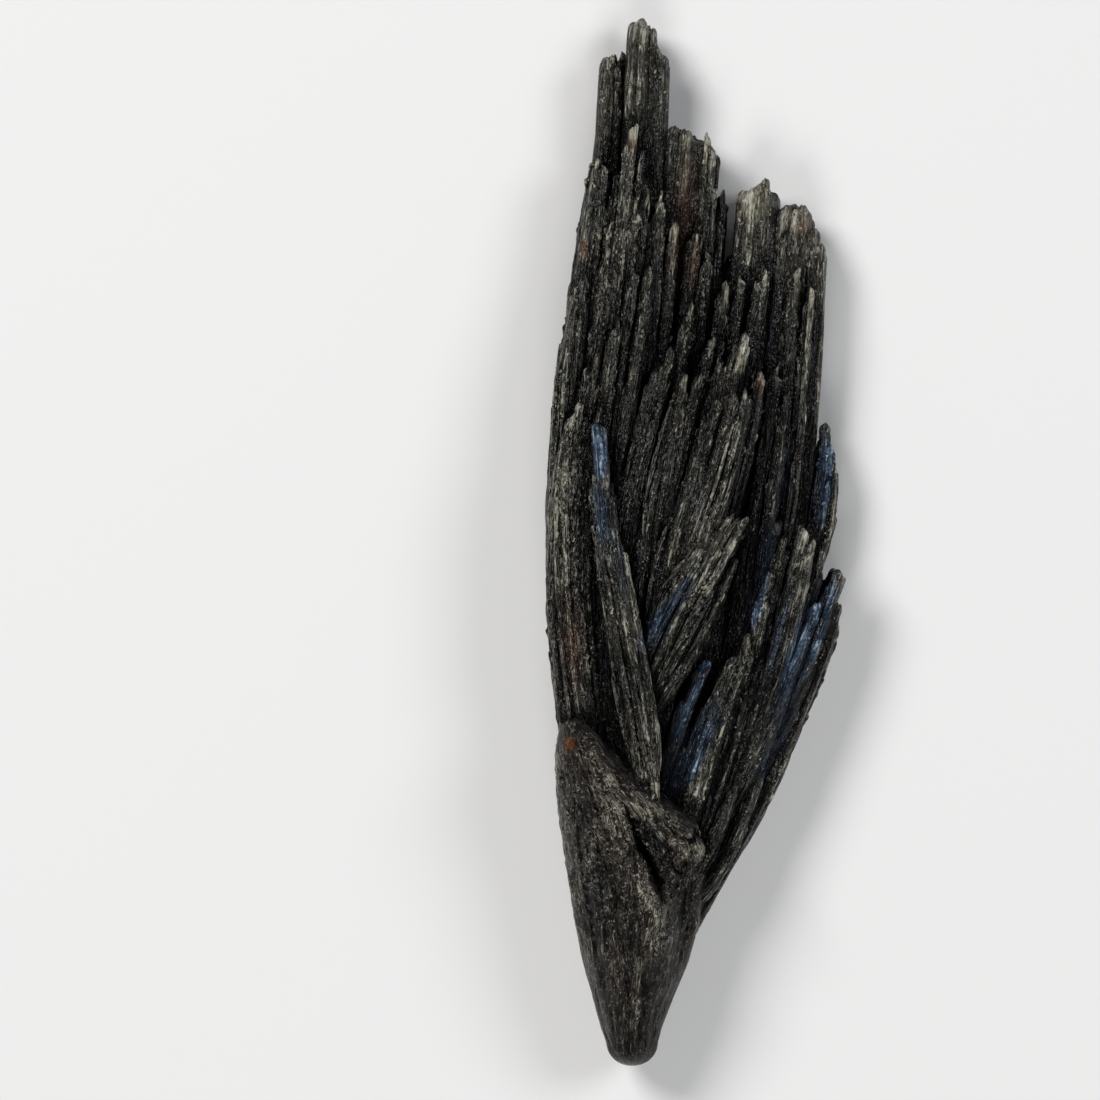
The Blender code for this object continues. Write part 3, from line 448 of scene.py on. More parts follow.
class Solids:
    """All the bundles as rough solids, to tell which laths would be buried."""

    def __init__(self, spines):
        self.spines = spines
        self.c = [np.stack([s.x, s.y], -1)[::3] for s in spines]
        self.seen = {}

    def open_along(self, spine, side, proud):
        """Where a strip at that side of a bundle's cross-section lies open, read every so often along it."""
        side, proud = round(side * 10) / 10, round(proud * 4) / 4
        if (spine.name, side, proud) not in self.seen:
            probe = np.linspace(0.5, spine.length - 0.1, 60)
            x, y, ax, ay, w, top, depth = spine.at(probe)
            ca, cb = (float(v) for v in outline(np.array(side), SQUARE))
            na, nb = np.sign(ca) * abs(ca) ** (SQUARE - 1) / w, np.sign(cb) * abs(cb) ** (SQUARE - 1) / (depth / 2)
            size = np.hypot(na, nb) + 1e-9
            out_a, out_z = ca * w + na / size * (proud + 0.05), top - depth / 2 + cb * depth / 2 + nb / size * (proud + 0.05)
            clear = ~self.buried(np.stack([x + ax * out_a, y + ay * out_a, out_z], -1), spine) & (out_z > 0.05)
            self.seen[(spine.name, side, proud)] = (probe, clear)
        return self.seen[(spine.name, side, proud)]

    def buried(self, points, own):
        out = np.zeros(len(points), bool)
        for spine, c in zip(self.spines, self.c):
            if spine is own:
                continue
            lo, hi = c.min(0) - spine.half.max(), c.max(0) + spine.half.max()
            near = np.where(~out & (points[:, 0] > lo[0]) & (points[:, 0] < hi[0]) & (points[:, 1] > lo[1]) & (points[:, 1] < hi[1]))[0]
            if not len(near):
                continue
            p = points[near]
            d = ((p[:, None, :2] - c[None]) ** 2).sum(-1)
            i = d.argmin(1) * 3
            i = np.minimum(i, len(spine.x) - 1)
            dx, dy = p[:, 0] - spine.x[i], p[:, 1] - spine.y[i]
            a = (dx * spine.ax[i] + dy * spine.ay[i]) / (spine.half[i] * 0.97)
            run = np.abs(-dx * spine.ay[i] + dy * spine.ax[i])
            b = (p[:, 2] - spine.top[i] + spine.depth[i] / 2) / (spine.depth[i] / 2 * 0.97)
            end = spine.length - spine.drop(np.clip(a, -1, 1)) - 1.5
            inside = (np.abs(a) ** SQUARE + np.abs(b) ** SQUARE < 0.92) & (spine.l[i] < end) & (run < 0.6)
            out[near[inside]] = True
        return out


def lath(spine, solids, a0, side, rnd, number, wide, thick, proud, short, lean, span=None):
    """One narrow lath along a bundle's face. side is the angle it stands at round the cross-section."""
    s = seed_of(spine.name) + 7919 * (number + 1)
    worn = worn_down(spine.name)
    tilt, slope, dip = rnd.uniform(-0.42, 0.42), rnd.uniform(-1.3, 1.3), rnd.uniform(0, 1)
    end = spine.length - float(spine.drop(np.array(a0))) - short
    if end < 4:
        return None
    probe, open_ = solids.open_along(spine, side, proud)
    open_ = open_ & (probe < end)
    if open_.sum() < 3:
        return None
    ca, cb = (float(v) for v in outline(np.array(side), SQUARE))
    first = max(0.0, probe[open_.argmax()] - 2.0)
    last = min(end, probe[len(open_) - 1 - open_[::-1].argmax()] + 2.0)
    if span:
        low, high = first + 2.0, last - 0.5
        if high - low < 3 or span[2] * 60 > high - low + 8:
            return None
        last = low + (high - low) * span[0]
        first = last - span[1]
        if not np.interp(last, probe, open_.astype(float)) > 0.5 or first < 0.3:
            return None
    elif last - first < 2.5:
        return None
    m = 6 if span else 12 if worn else 11 if wide > 0.45 else 9 if wide > 0.3 else 8
    # a flat-faced prism, its corners where chance puts them
    square = 2.9 if worn else 2.2 if span else 4.0
    dense = np.linspace(-math.pi, math.pi, 361)
    da, db = outline(dense, square)
    far = np.concatenate([[0], np.cumsum(np.hypot(np.diff(da * wide), np.diff(db * thick)))])
    angle = np.interp((np.arange(m) + 0.15 + 0.7 * rnd.random()) / m * far[-1], far, dense)
    ta, tb = outline(angle, square)
    if worn:
        tilt, slope = 0.5 * tilt, 0.3 * slope
    rag = (0.3 if worn else 0.5) * np.abs(noise(angle * 1.9, seed=s)) + 0.35 * (slope * ta + abs(slope)) + 0.3 * (1 - tb) * dip
    ends = last - rag
    zone = min((last - first) * 0.5, 3.0)
    l = rings_for(first, last, zone)
    if span:
        l = first + (last - first) * np.array([0.0, 0.28, 0.55, 0.78, 0.92, 0.985, 1.0])
    k = len(l)
    base = last - zone
    L = np.where(l[:, None] < base, l[:, None], base + (l[:, None] - base) * (ends[None] - base) / zone)
    x, y, ax, ay, w, top, depth = spine.at(L)
    na, nb = np.sign(ca) * abs(ca) ** (SQUARE - 1) / w, np.sign(cb) * abs(cb) ** (SQUARE - 1) / (depth / 2)
    size = np.hypot(na, nb) + 1e-9
    na, nb = na / size, nb / size
    grow = smooth(first, first + (span[1] * 0.8 if span else 7.0), l[:, None])
    left = last - l[:, None]
    arc = (angle - angle[0]) * wide
    step = (0.03 if worn else 0.07) * noise(L / 2.6, seed=s + 4)
    body = (0.5 + 0.5 * grow) * (1 + (0.07 if worn else 0.16) * noise(L / 4.0, seed=s + 5))
    fine = noise(angle[None] * 1.9 + 0.5 * noise(L / 8.0, seed=s + 8), L / 6.0, seed=s + 6)
    crumb = noise(angle[None] * 2.2, L / 0.8, seed=s + 13)
    ridge = 0.07 * fine + (0.03 if worn else 0.055 + 0.07 * smooth(3.0, 0.5, left)) * crumb
    over = wide * 1.3 if worn else rnd.uniform(0.25, 0.7)
    keep = rounded(left, over)
    t = ta * wide * body * (0.25 + 0.75 * keep if worn else 0.5 + 0.5 * keep) * (1 + 0.7 * ridge / wide)
    n = tb * thick * (0.35 + 0.65 * keep) + tb * ridge
    twist = tilt + 0.12 * noise(L / 6.0, seed=s + 9)
    tangent, normal = t * np.cos(twist) - n * np.sin(twist), t * np.sin(twist) + n * np.cos(twist)
    normal = normal + (proud - thick) * grow - (thick + 0.18) * (1 - grow) + step - (0.35 if worn else 0.0) * (1 - keep)
    shift = lean * np.sin(L / 17.0 + s % 11)
    # tangent runs across the face and normal stands out of it
    across = ca * w + na * normal + nb * (tangent + shift)
    z = top - depth / 2 + cb * depth / 2 + nb * normal - na * (tangent + shift)
    points = np.stack([x + ax * across, y + ay * across, z], -1)
    flow = np.stack([np.broadcast_to(arc[None] + 2.3 * (s % 89), (k, m)), L + 1.3 * (s % 73), np.full((k, m), float(s % 257))], -1)
    # painted light and shade: the lath's outer face is lighter, its sides and inner face darker; its raised ridges are
    # lighter than its grooves, partly wear
    height = np.clip(0.42 + 0.28 * tb[None] + ridge / 0.3, 0, 1)
    tone = np.stack([height, smooth(1.6, 0.1, np.broadcast_to(left, (k, m))), np.full((k, m), (s % 83) / 83.0)], -1)
    return Shape(points, flow, tone)


PLAIN = ("heart", "root_shelf")


def laths(spine, solids):
    """The laths along the front, the sides and, more sparsely, the back of a bundle, in up to three layers."""
    if spine.name in PLAIN:
        return []
    rnd = random.Random(seed_of(spine.name))
    half = float(np.interp(spine.length * 0.7, spine.l, spine.half))
    deep = float(np.interp(spine.length * 0.7, spine.l, spine.depth)) / 2
    found = []
    worn, under, calm = worn_down(spine.name), spine.name.startswith("under"), spine.name.startswith(CALM)
    dense = np.linspace(-math.pi, math.pi, 721)
    a, b = outline(dense, SQUARE)
    step = np.hypot(np.diff(a * half), np.diff(b * deep))
    far = np.concatenate([[0], np.cumsum(step)])
    # the first lath laid is the one that ends at the peak of the tip, the rest go on round the blade
    peak = float(np.interp(math.pi / 2 - math.asin(max(-1, min(1, spine.peak))), dense, far))
    q, number = 0.0, 0
    while q < far[-1]:
        wide = rnd.uniform(0.42, 0.75) if worn or calm else rnd.uniform(0.2, 0.44)
        side = float(np.interp((peak + q) % far[-1], far, dense))
        ca, cb = (float(v) for v in outline(np.array(side), SQUARE))
        back = cb < -0.55
        draw = rnd.random()
        short = 0.0 if q == 0 else rnd.uniform(0, 1.1) if draw < 0.5 else rnd.uniform(1.2, 5) if draw < 0.82 else rnd.uniform(5, 14)
        if worn:
            short = 0.0 if q == 0 else rnd.uniform(0, 0.35) if draw < 0.8 else rnd.uniform(1, 5)
        stack = [(rnd.uniform(-0.08, 0.12), wide, rnd.uniform(0.45, 0.6), short)]
        if not back:
            if rnd.random() < (0.35 if worn or calm else 0.5):
                stack.append((rnd.uniform(0.18, 0.34), rnd.uniform(0.16, 0.32), rnd.uniform(0.3, 0.42), short + rnd.uniform(0.8, 9.0)))
            if rnd.random() < (0.1 if worn or calm else 0.3):
                stack.append((rnd.uniform(0.38, 0.58), rnd.uniform(0.18, 0.32), rnd.uniform(0.45, 0.6), short + rnd.uniform(3.0, 22.0)))
        elif not under:
            stack = stack if rnd.random() < 0.5 else []
        outer = smooth(0.75, 0.97, abs(ca))
        for proud, w, thick, short in stack:
            proud = proud * (1 - 0.7 * outer) - 0.12 * outer
            moved = side + (rnd.uniform(-0.3, 0.3) if proud > 0.15 else 0) / max(half, deep)
            found.append(lath(spine, solids, ca, moved, rnd, number, w, thick, proud * (0.5 if back else 1), short, rnd.uniform(-0.15, 0.15)))
            number += 1
        # short splinters and crumbs left on the laths
        if not back and not worn and not under:
            for _ in range(2 if calm else 4):
                moved = side + rnd.uniform(-0.7, 0.7) * wide / max(half, deep)
                size = rnd.uniform(0.08, 0.22)
                rise = rnd.uniform(0.08, 0.42) * (1 - 0.7 * outer)
                long = rnd.uniform(1.0, 3.5) if rnd.random() < 0.6 else rnd.uniform(3.5, 9.0)
                found.append(lath(spine, solids, ca, moved, rnd, number, size, rise + 0.25, rise, 0.5, 0.0, span=(rnd.random() ** rnd.choice((0.4, 0.8)), long, rnd.random())))
                number += 1
        q += 2 * wide * rnd.uniform(0.84, 1.1) * (1.5 if back else 1)
    return [f for f in found if f]


# ------------------------------------------------------------------ the root
ROOT = [
    (1067, 607, 657.5, 8.8, 1.5),
    (1045, 607, 657.5, 8.8, 1.5),
    (1028, 601, 662, 9.7, 0.7),
    (998, 593, 673, 10.8, 0.25),
    (962, 582.5, 688, 11.7, 0.05),
    (920, 574.5, 700, 12.5, 0.05),
    (880, 568.5, 706, 13.0, 0.05),
    (845, 563, 708, 13.2, 0.1),
    (812, 558, 688, 13.5, 0.3),
    (782, 556, 652, 14.0, 0.9),
    (755, 555, 621, 13.6, 1.8),
    (733, 558, 598, 12.9, 3.2),
    (718, 564, 582, 12.0, 5.0),
]


class Root:
    """The rounded root, with the fibres of its surface running from its shoulder to its foot."""

    def __init__(self):
        table = np.array(ROOT, float)[::-1]
        # soften the sections by reading them through a wide window
        self.fine = np.linspace(716, 1067, 1400)
        read = [np.interp(self.fine, table[:, 0], table[:, i]) for i in range(1, 5)]
        window = np.hanning(71)
        window /= window.sum()
        self.soft = [np.convolve(np.pad(v, 35, mode="reflect", reflect_type="odd"), window, mode="valid") for v in read]

    def at(self, angle, ys):
        """Points, outward normals in x and z, and plan position, at angles round the root and at heights ys."""
        left, right, top, low = (np.interp(ys, self.fine, v) for v in self.soft)
        # the two ends are rounded off
        close = np.sqrt(np.clip((ys - 715.6) / 7, 0.01, 1)) * np.sqrt(np.clip(1 - (np.clip((ys - 1045) / 22, 0, 1)) ** 2, 0.001, 1))
        a, b = outline(angle, 2.2)
        hx, hz = (right - left) / 2 * close, (top - low) / 2 * close
        X = ((left + right) / 2 + a * hx - CENTRE_X) * UNIT
        Y = (CENTRE_Y - ys) * UNIT + 0 * X
        Z = (top + low) / 2 + b * hz
        n_a, n_b = a / np.maximum(hx * UNIT, 0.4), b / np.maximum(hz, 0.4)
        size = np.hypot(n_a, n_b) + 1e-9
        return X, Y, Z, n_a / size, n_b / size

    def raised(self, X, Y, n_b):
        """The lobes, and how deep the valleys between them are cut, both in mm of height."""
        px, py = X / UNIT + CENTRE_X, CENTRE_Y - Y / UNIT
        px = px + 2.5 * noise(px / 13, py / 16, seed=41) + 1.2 * noise(px / 5, py / 6, seed=43)
        py = py + 2.5 * noise(px / 15, py / 14, seed=42)
        front = smooth(0.1, 0.6, n_b)

        def along(points):
            """Distance from a path in drawing units, with the path's own strength there."""
            best, deep = np.full(X.shape, 1e9), np.zeros(X.shape)
            for (x0, y0, d0), (x1, y1, d1) in zip(points, points[1:]):
                t = np.clip(((px - x0) * (x1 - x0) + (py - y0) * (y1 - y0)) / ((x1 - x0) ** 2 + (y1 - y0) ** 2), 0, 1)
                d = np.hypot(px - x0 - t * (x1 - x0), py - y0 - t * (y1 - y0))
                deep = np.where(d < best, d0 + t * (d1 - d0), deep)
                best = np.minimum(best, d)
            return best, deep

        def trough(points, width, depth):
            best, deep = along(points)
            return depth * deep * np.exp(-((best / width) ** 2)) * front

        def bank(points, width, height, steep=3):
            best, deep = along(points)
            return height * deep / (1 + (best / width) ** (2 * steep)) * front

        # the crest of the main lobe, and the second lobe lying over its right side with a blocky end
        crest = bank([(588, 742, 0.5), (610, 790, 0.9), (630, 850, 1.0), (645, 900, 1.0), (653, 950, 0.6), (650, 1000, 0.0)], 15, 0.8, 2)
        lobe = bank([(620, 776, 0.2), (644, 800, 0.9), (668, 822, 1.0), (690, 842, 1.1)], 18, 1.3, 5)
        block = bank([(664, 842, 0.9), (676, 852, 1.0)], 10, 0.6, 5) + bank([(692, 852, 1.0), (700, 846, 1.0)], 10, 0.6, 5)
        step = bank([(640, 812, 1.0), (660, 832, 1.0)], 7, 0.3, 4)
        # the valley between the two lobes, the hollow it opens into below the right one, and long grooves
        cut = trough([(622, 802, 0.1), (631, 822, 0.7), (640, 842, 1.0), (651, 864, 1.1), (659, 884, 0.6), (666, 906, 0.1)], 2.7, 2.0)
        cut = cut + trough([(666, 884, 0.5), (682, 896, 1.0), (686, 926, 1.0), (676, 965, 0.4), (668, 990, 0.1)], 12, 1.5)
        cut = cut + trough([(576, 790, 0.0), (582, 850, 1.0), (594, 930, 0.8), (606, 1010, 0.0)], 2.4, 0.5)
        cut = cut + trough([(598, 830, 0.0), (612, 890, 1.0), (624, 960, 0.9), (630, 1030, 0.2)], 2.2, 0.5)
        cut = cut + trough([(640, 930, 0.0), (644, 990, 1.0), (640, 1042, 0.5)], 2.2, 0.5)
        cut = cut + trough([(660, 842, 0.0), (674, 866, 1.0), (684, 874, 0.4)], 2.2, 0.9)
        cut = cut + trough([(684, 836, 0.3), (688, 852, 1.0), (684, 868, 0.6)], 1.8, 0.7)
        cut = cut + trough([(572, 745, 0.2), (590, 790, 0.9), (606, 830, 0.2)], 2.0, 0.35)
        return (crest + lobe + block + step) * 1.0, cut

    def roughness(self, X, Y, lobes):
        py = CENTRE_Y - Y / UNIT
        rough = smooth(1010, 850, py) * (0.55 + 0.45 * smooth(-0.3, 0.4, noise(X / 2.5, Y / 3.0, seed=16)))
        rough = np.maximum(rough, 1.1 * np.clip(lobes, 0, 1) * smooth(930, 880, py))
        # the bevel along the upper right edge is smooth
        px = X / UNIT + CENTRE_X
        t = np.clip(((px - 586) * 66 + (py - 726) * 70) / (66**2 + 70**2), 0, 1)
        return rough * (1 - 0.85 * np.exp(-((np.hypot(px - 586 - t * 66, py - 726 - t * 70) / 9) ** 2)))

    def lump(self):
        m = 204
        ys = np.concatenate([np.linspace(716, 722, 6), np.linspace(724, 1046, 198), 1045 + 22 * np.sin(np.linspace(0.14, 1, 12) * math.pi / 2)])
        angle = np.linspace(-math.pi, math.pi, m, endpoint=False)
        X, Y, Z, n_a, n_b = self.at(angle[None], ys[:, None])
        a, b = outline(angle, 2.2)
        py = CENTRE_Y - Y / UNIT
        arc = np.concatenate([[0], np.cumsum(np.hypot(np.diff(a * 6.6), np.diff(b * 7.0)))])
        loop = arc[-1] + math.hypot((a[-1] - a[0]) * 6.6, (b[-1] - b[0]) * 7.0)
        u = arc[None] + 0.55 * noise(X / 2.6, Y / 3.5, Z / 3.0, seed=5) + 0.9 * noise(X / 6.0, Y / 8.0, Z / 6.0, seed=6)
        v = np.concatenate([[0], np.cumsum(np.diff(ys) * UNIT)])[:, None] + 0 * u
        seam = smooth(0.0, 1.0, arc) * smooth(loop, loop - 1.0, arc)
        lobes, cut = self.raised(X, Y, n_b)
        rough = self.roughness(X, Y, lobes)
        coarse = noise(u / 2.1, v / 9.0, seed=11)
        mid = 0.5 - np.abs(noise(u / 1.1, v / 5.0, seed=12))
        fine_ = noise(u / 0.4, v / 2.8, seed=13)
        lumps = noise(X / 1.0, Y / 1.4, Z / 1.1, seed=18)
        scales = shingles(u, -v, 0.75, 1.9, 21, 0.85) + 0.8 * shingles(u + 0.3, -v, 0.46, 0.95, 22, 0.85)
        relief = 0.15 * coarse + 0.18 * mid + 0.06 * fine_ + 0.27 * (0.22 + 0.78 * rough) * (scales - 0.5) + 0.2 * rough * lumps
        relief = relief * seam[None] * (1 - 0.4 * smooth(0.0, -0.6, n_b)) * (0.4 + 0.6 * smooth(0.05, 0.5, np.abs(n_b)))
        foot = smooth(716, 732, py) * smooth(1067, 1050, py)
        relief = relief * (0.25 + 0.75 * foot)
        points = np.stack([X + n_a * relief, Y, Z + n_b * relief + (lobes - cut) * foot], -1)
        flow = np.stack([u + 400, v + 300, np.full(X.shape, 7.0)], -1)
        # lighter on raised scales and lumps and darker low between them: partly wear, partly painted shade
        height = 0.45 + (0.2 * mid + 0.06 * fine_ + 0.2 * (scales - 0.5) + 0.1 * lumps) / 0.5
        tone = np.stack([np.clip(height, 0, 1), 0.5 * rough, np.full(X.shape, 2.0)], -1)
        return Shape(points[:, ::-1], flow[:, ::-1], tone[:, ::-1])

    def flake(self, rnd, number):
        """A scale or a raised fibre on the root's surface, broken off at its upper end."""
        where = rnd.uniform(-0.55, math.pi + 0.55)
        y = rnd.uniform(728, 1046)
        upper = float(smooth(960, 850, y))
        long = rnd.uniform(2.4, 7.5) * (1 - upper) + rnd.uniform(0.9, 3.2) * upper
        wide = rnd.uniform(0.2, 0.5) * (1 - upper) + rnd.uniform(0.25, 0.6) * upper
        proud = rnd.uniform(0.04, 0.17) * (1 - upper) + rnd.uniform(0.06, 0.27) * upper
        k, m = 9, 9
        t = np.array([0.0, 0.14, 0.32, 0.52, 0.7, 0.84, 0.93, 0.98, 1.0])[:, None]
        angle = np.linspace(-math.pi, math.pi, m, endpoint=False)[None] + 0.2
        ta, tb = outline(angle, 2.6)
        lean = rnd.uniform(-0.25, 0.25) + (0.35 if y < 860 else 0.0)
        ys = np.minimum(y + (1 - t) * long / UNIT - 0.3 * long / UNIT, 1062.0)
        shape = (0.3 + 0.7 * smooth(0, 0.45, t)) * (0.35 + 0.65 * rounded(1 - t, 0.16)) * (1 + 0.25 * noise(t * 3.3, seed=number))
        tangent = ta * wide * shape + lean * (t - 0.5) * long + 0.0 * angle
        proud = proud * (1 - 0.6 * float(smooth(0.8, 0.98, abs(math.cos(where)))))
        thick = proud * 0.9 + 0.25
        rise = smooth(0, 0.75, t)
        normal = tb * thick * (0.3 + 0.7 * rounded(1 - t, 0.2)) + (proud - thick) * rise - (thick + 0.1) * (1 - rise)
        normal = normal + 0.04 * noise(angle * 1.7 + number, t * long / 0.7, seed=number + 3)
        turn = tangent / 6.8
        X, Y, Z, n_a, n_b = self.at(where - turn, ys + 0 * angle)
        lobes, cut = self.raised(X, Y, n_b)
        foot = smooth(716, 732, CENTRE_Y - Y / UNIT) * smooth(1067, 1050, CENTRE_Y - Y / UNIT)
        points = np.stack([X + n_a * normal, Y, Z + n_b * normal + (lobes - cut) * foot], -1)
        flow = np.stack([tangent + 0.37 * number + 0 * Y, CENTRE_Y * UNIT - Y + 0.61 * number, np.full(X.shape, float(number % 211))], -1)
        # painted light and shade: the flake's outer face is lighter, its underside darker
        height = np.clip(0.5 + 0.25 * tb + 0 * X, 0, 1)
        tone = np.stack([height, 0.35 + 0.4 * smooth(0.6, 1.0, t) * upper + 0 * X, np.full(X.shape, 2.0)], -1)
        return Shape(points, flow, tone)


ROOT_BUNDLES = [
    ("root_shelf", [(622, 788), (652, 810), (682, 832), (711, 852)], [12, 30, 36, 30], [12.6, 13.7, 14.1, 13.7], [6.6, 6.4, 5.8, 5.0], (-0.2, 5, 9)),
]


# ------------------------------------------------------------------ how exposed each point is, for painted light on open ridges and painted shade in hollows
class Ground:
    """The outermost surface seen from five sides, softened, to tell ridges from hollows."""

    def __init__(self, points, cell, reach):
        self.cell = cell
        self.maps = []
        for u, v, w, sign in ((0, 1, 2, 1), (0, 1, 2, -1), (1, 2, 0, 1), (1, 2, 0, -1), (0, 2, 1, 1)):
            low = np.array([points[:, u].min(), points[:, v].min()]) - 12 * cell
            n = ((np.array([points[:, u].max(), points[:, v].max()]) + 12 * cell - low) / cell).astype(int) + 1
            grid = np.full(n, -1e6)
            i, j = ((points[:, u] - low[0]) / cell).astype(int), ((points[:, v] - low[1]) / cell).astype(int)
            np.maximum.at(grid, (i, j), sign * points[:, w])
            near = grid.copy()
            for di in (-1, 0, 1):
                for dj in (-1, 0, 1):
                    near = np.maximum(near, np.roll(grid, (di, dj), (0, 1)))
            known = (near > -1e5).astype(float)
            value = np.where(known > 0, near, 0)
            bell = np.exp(-(np.arange(-reach, reach + 1) / (0.6 * reach)) ** 2)
            for axis in (0, 1):
                value = sum(w_ * np.roll(value, d, axis) for w_, d in zip(bell, range(-reach, reach + 1)))
                known = sum(w_ * np.roll(known, d, axis) for w_, d in zip(bell, range(-reach, reach + 1)))
            self.maps.append((u, v, w, sign, low, value / np.maximum(known, 1e-6)))

    def exposure(self, points):
        """Height above the softened surface in mm, from whichever side it is greatest."""
        best = np.full(len(points), -9.0)
        for u, v, w, sign, low, value in self.maps:
            i, j = ((points[:, u] - low[0]) / self.cell).astype(int), ((points[:, v] - low[1]) / self.cell).astype(int)
            best = np.maximum(best, sign * points[:, w] - value[i, j])
        return best


class Top:
    """What shows from straight above, in small cells: its height, which way its fibres run and whose it is."""

    CELL = 0.13

    def __init__(self, made):
        found = []
        u = np.array([0.1, 0.3, 0.5, 0.7, 0.9])[:, None, None, None, None]
        v = np.array([0.25, 0.75])[None, :, None, None, None]
        for number, shapes in enumerate(made.values()):
            for shape in shapes:
                g = shape.grid
                n = np.roll(g, -1, 1)
                p = ((g[:-1] * (1 - u) + g[1:] * u) * (1 - v) + (n[:-1] * (1 - u) + n[1:] * u) * v).reshape(-1, 3)
                way = np.broadcast_to((g[1:] - g[:-1])[None, None], (5, 2) + g[1:].shape).reshape(-1, 3)
                found.append(np.concatenate([p, way, np.full((len(p), 1), float(number))], 1))
        found = np.concatenate(found)
        self.low = found[:, :2].min(0)
        cell = ((found[:, :2] - self.low) / self.CELL).astype(int)
        wide = cell[:, 1].max() + 1
        flat = cell[:, 0] * wide + cell[:, 1]
        order = np.lexsort((found[:, 2], flat))
        last = order[np.concatenate([flat[order][1:] != flat[order][:-1], [True]])]
        i, j = cell[last, 0] + 1, cell[last, 1] + 1
        height = np.full((i.max() + 2, j.max() + 2), np.nan)
        height[i, j] = found[last, 2]
        around = np.stack([height[i + a, j + b] - found[last, 2] for a, b in ((1, 0), (-1, 0), (0, 1), (0, -1), (1, 1), (-1, -1), (1, -1), (-1, 1))], 1)
        level = (np.isnan(around).sum(1) <= 1) & (np.nanmax(np.abs(np.nan_to_num(around)), 1) < 0.3)
        slope = np.nan_to_num((around[:, [0, 2]] - around[:, [1, 3]]) / (2 * self.CELL))
        self.seen = np.concatenate([found[last], -slope], 1)[level]


def chips(top, number, count, rng, root):
    """Crumbs and broken ends of fibres lying on the faces of one piece, in shapes that stay clear of each other."""
    seen = top.seen[top.seen[:, 6] == number]
    at = seen[:, :3]
    patch = spots(at, WEATHER)
    clump = smooth(-0.1, 0.55, noise(at[:, 0] / 1.1, at[:, 1] / 1.9, at[:, 2] / 1.5, seed=71))
    weight = (0.10 + 0.9 * patch) * (0.15 + clump)
    if root:
        weight = (0.06 + smooth(965, 850, CENTRE_Y - at[:, 1] / UNIT)) * (0.2 + clump)
    chosen = rng.choice(len(seen), size=min(count, len(seen) // 3), replace=False, p=weight / weight.sum())
    at, way = at[chosen], seen[chosen, 3:6]
    n = len(at)
    way = way / np.maximum(np.linalg.norm(way, axis=1, keepdims=True), 1e-6)
    turn = rng.normal(0, 0.8 if root else 0.3, n)
    c, s = np.cos(turn), np.sin(turn)
    way = np.stack([way[:, 0] * c - way[:, 1] * s, way[:, 0] * s + way[:, 1] * c, way[:, 2] + rng.normal(0, 0.12, n)], -1)
    way /= np.linalg.norm(way, axis=1, keepdims=True)
    tip = np.clip(seen[chosen, 7:9], -0.8, 0.8)
    up = np.stack([tip[:, 0] + rng.normal(0, 0.3, n), tip[:, 1] + rng.normal(0, 0.3, n), np.ones(n)], -1)
    side = np.cross(way, up)
    side /= np.linalg.norm(side, axis=1, keepdims=True)
    up = np.cross(side, way)
    long, wide, tall = rng.uniform(0.08, 0.2, n), rng.uniform(0.06, 0.13, n), rng.uniform(0.06, 0.1, n)
    corner = np.array([(a, b, c) for a in (-1, 1) for b in (-1, 1) for c in (-1, 1)], float)
    local = corner[None] * (1 + rng.uniform(-0.35, 0.35, (n, 8, 3))) * np.stack([wide, long, tall], -1)[:, None]
    centre = at + up * (tall * rng.uniform(-0.45, 0.25, n))[:, None]
    points = centre[:, None] + local[..., :1] * side[:, None] + local[..., 1:2] * way[:, None] + local[..., 2:] * up[:, None]
    flow = np.stack([local[..., 0] + rng.uniform(0, 90, (n, 1)), local[..., 1] + rng.uniform(0, 90, (n, 1)), np.tile(rng.uniform(0, 250, (n, 1)), (1, 8))], -1)
    # painted light and shade: each chip's upper corners are lighter, its lower corners darker
    tone = np.stack([np.full((n, 8), 0.6) + 0.2 * corner[None, :, 2], np.full((n, 8), 0.5), np.tile(rng.random((n, 1)), (1, 8))], -1)
    faces = np.array([(0, 1, 3, 2), (4, 6, 7, 5), (0, 4, 5, 1), (2, 3, 7, 6), (0, 2, 6, 4), (1, 5, 7, 3)])
    # chips in one shape are at least a cell apart
    cell = np.floor(at[:, :2] / 1.1).astype(int)
    groups, count_in = {}, {}
    for i, (a, b) in enumerate(cell.tolist()):
        count_in[(a, b)] = count_in.get((a, b), -1) + 1
        groups.setdefault((a % 2, b % 2, count_in[(a, b)]), []).append(i)
    found = []
    for chosen in groups.values():
        k = len(chosen)
        quads = (faces[None] + 8 * np.arange(k)[:, None, None]).reshape(-1, 4)
        found.append(Shape.loose(points[chosen].reshape(-1, 3), flow[chosen].reshape(-1, 3), tone[chosen].reshape(-1, 3), quads))
    return found


# ------------------------------------------------------------------ material
def node(tree, kind, inputs=(), **settings):
    made = tree.nodes.new(kind)
    for key, value in settings.items():
        setattr(made, key, value)
    for key, value in dict(inputs).items():
        if hasattr(value, "is_output"):
            tree.links.new(value, made.inputs[key])
        else:
            made.inputs[key].default_value = value
    return made


def ramp(tree, fac, stops):
    made = node(tree, "ShaderNodeValToRGB", {"Fac": fac})
    made.color_ramp.interpolation = "EASE"
    for i, (at, grey) in enumerate(stops):
        e = made.color_ramp.elements[i] if i < 2 else made.color_ramp.elements.new(at)
        e.position, e.color = at, (grey, grey, grey, 1)
    return made.outputs["Color"]


def math_(tree, how, a, b=None, clamp=False):
    made = node(tree, "ShaderNodeMath", {0: a} if b is None else {0: a, 1: b}, operation=how, use_clamp=clamp)
    return made.outputs[0]


def mix(tree, fac, a, b, how="MIX"):
    made = node(tree, "ShaderNodeMix", data_type="RGBA", blend_type=how)
    for i, v in ((0, fac), (6, a), (7, b)):
        if hasattr(v, "is_output"):
            tree.links.new(v, made.inputs[i])
        else:
            made.inputs[i].default_value = v
    return made.outputs[2]


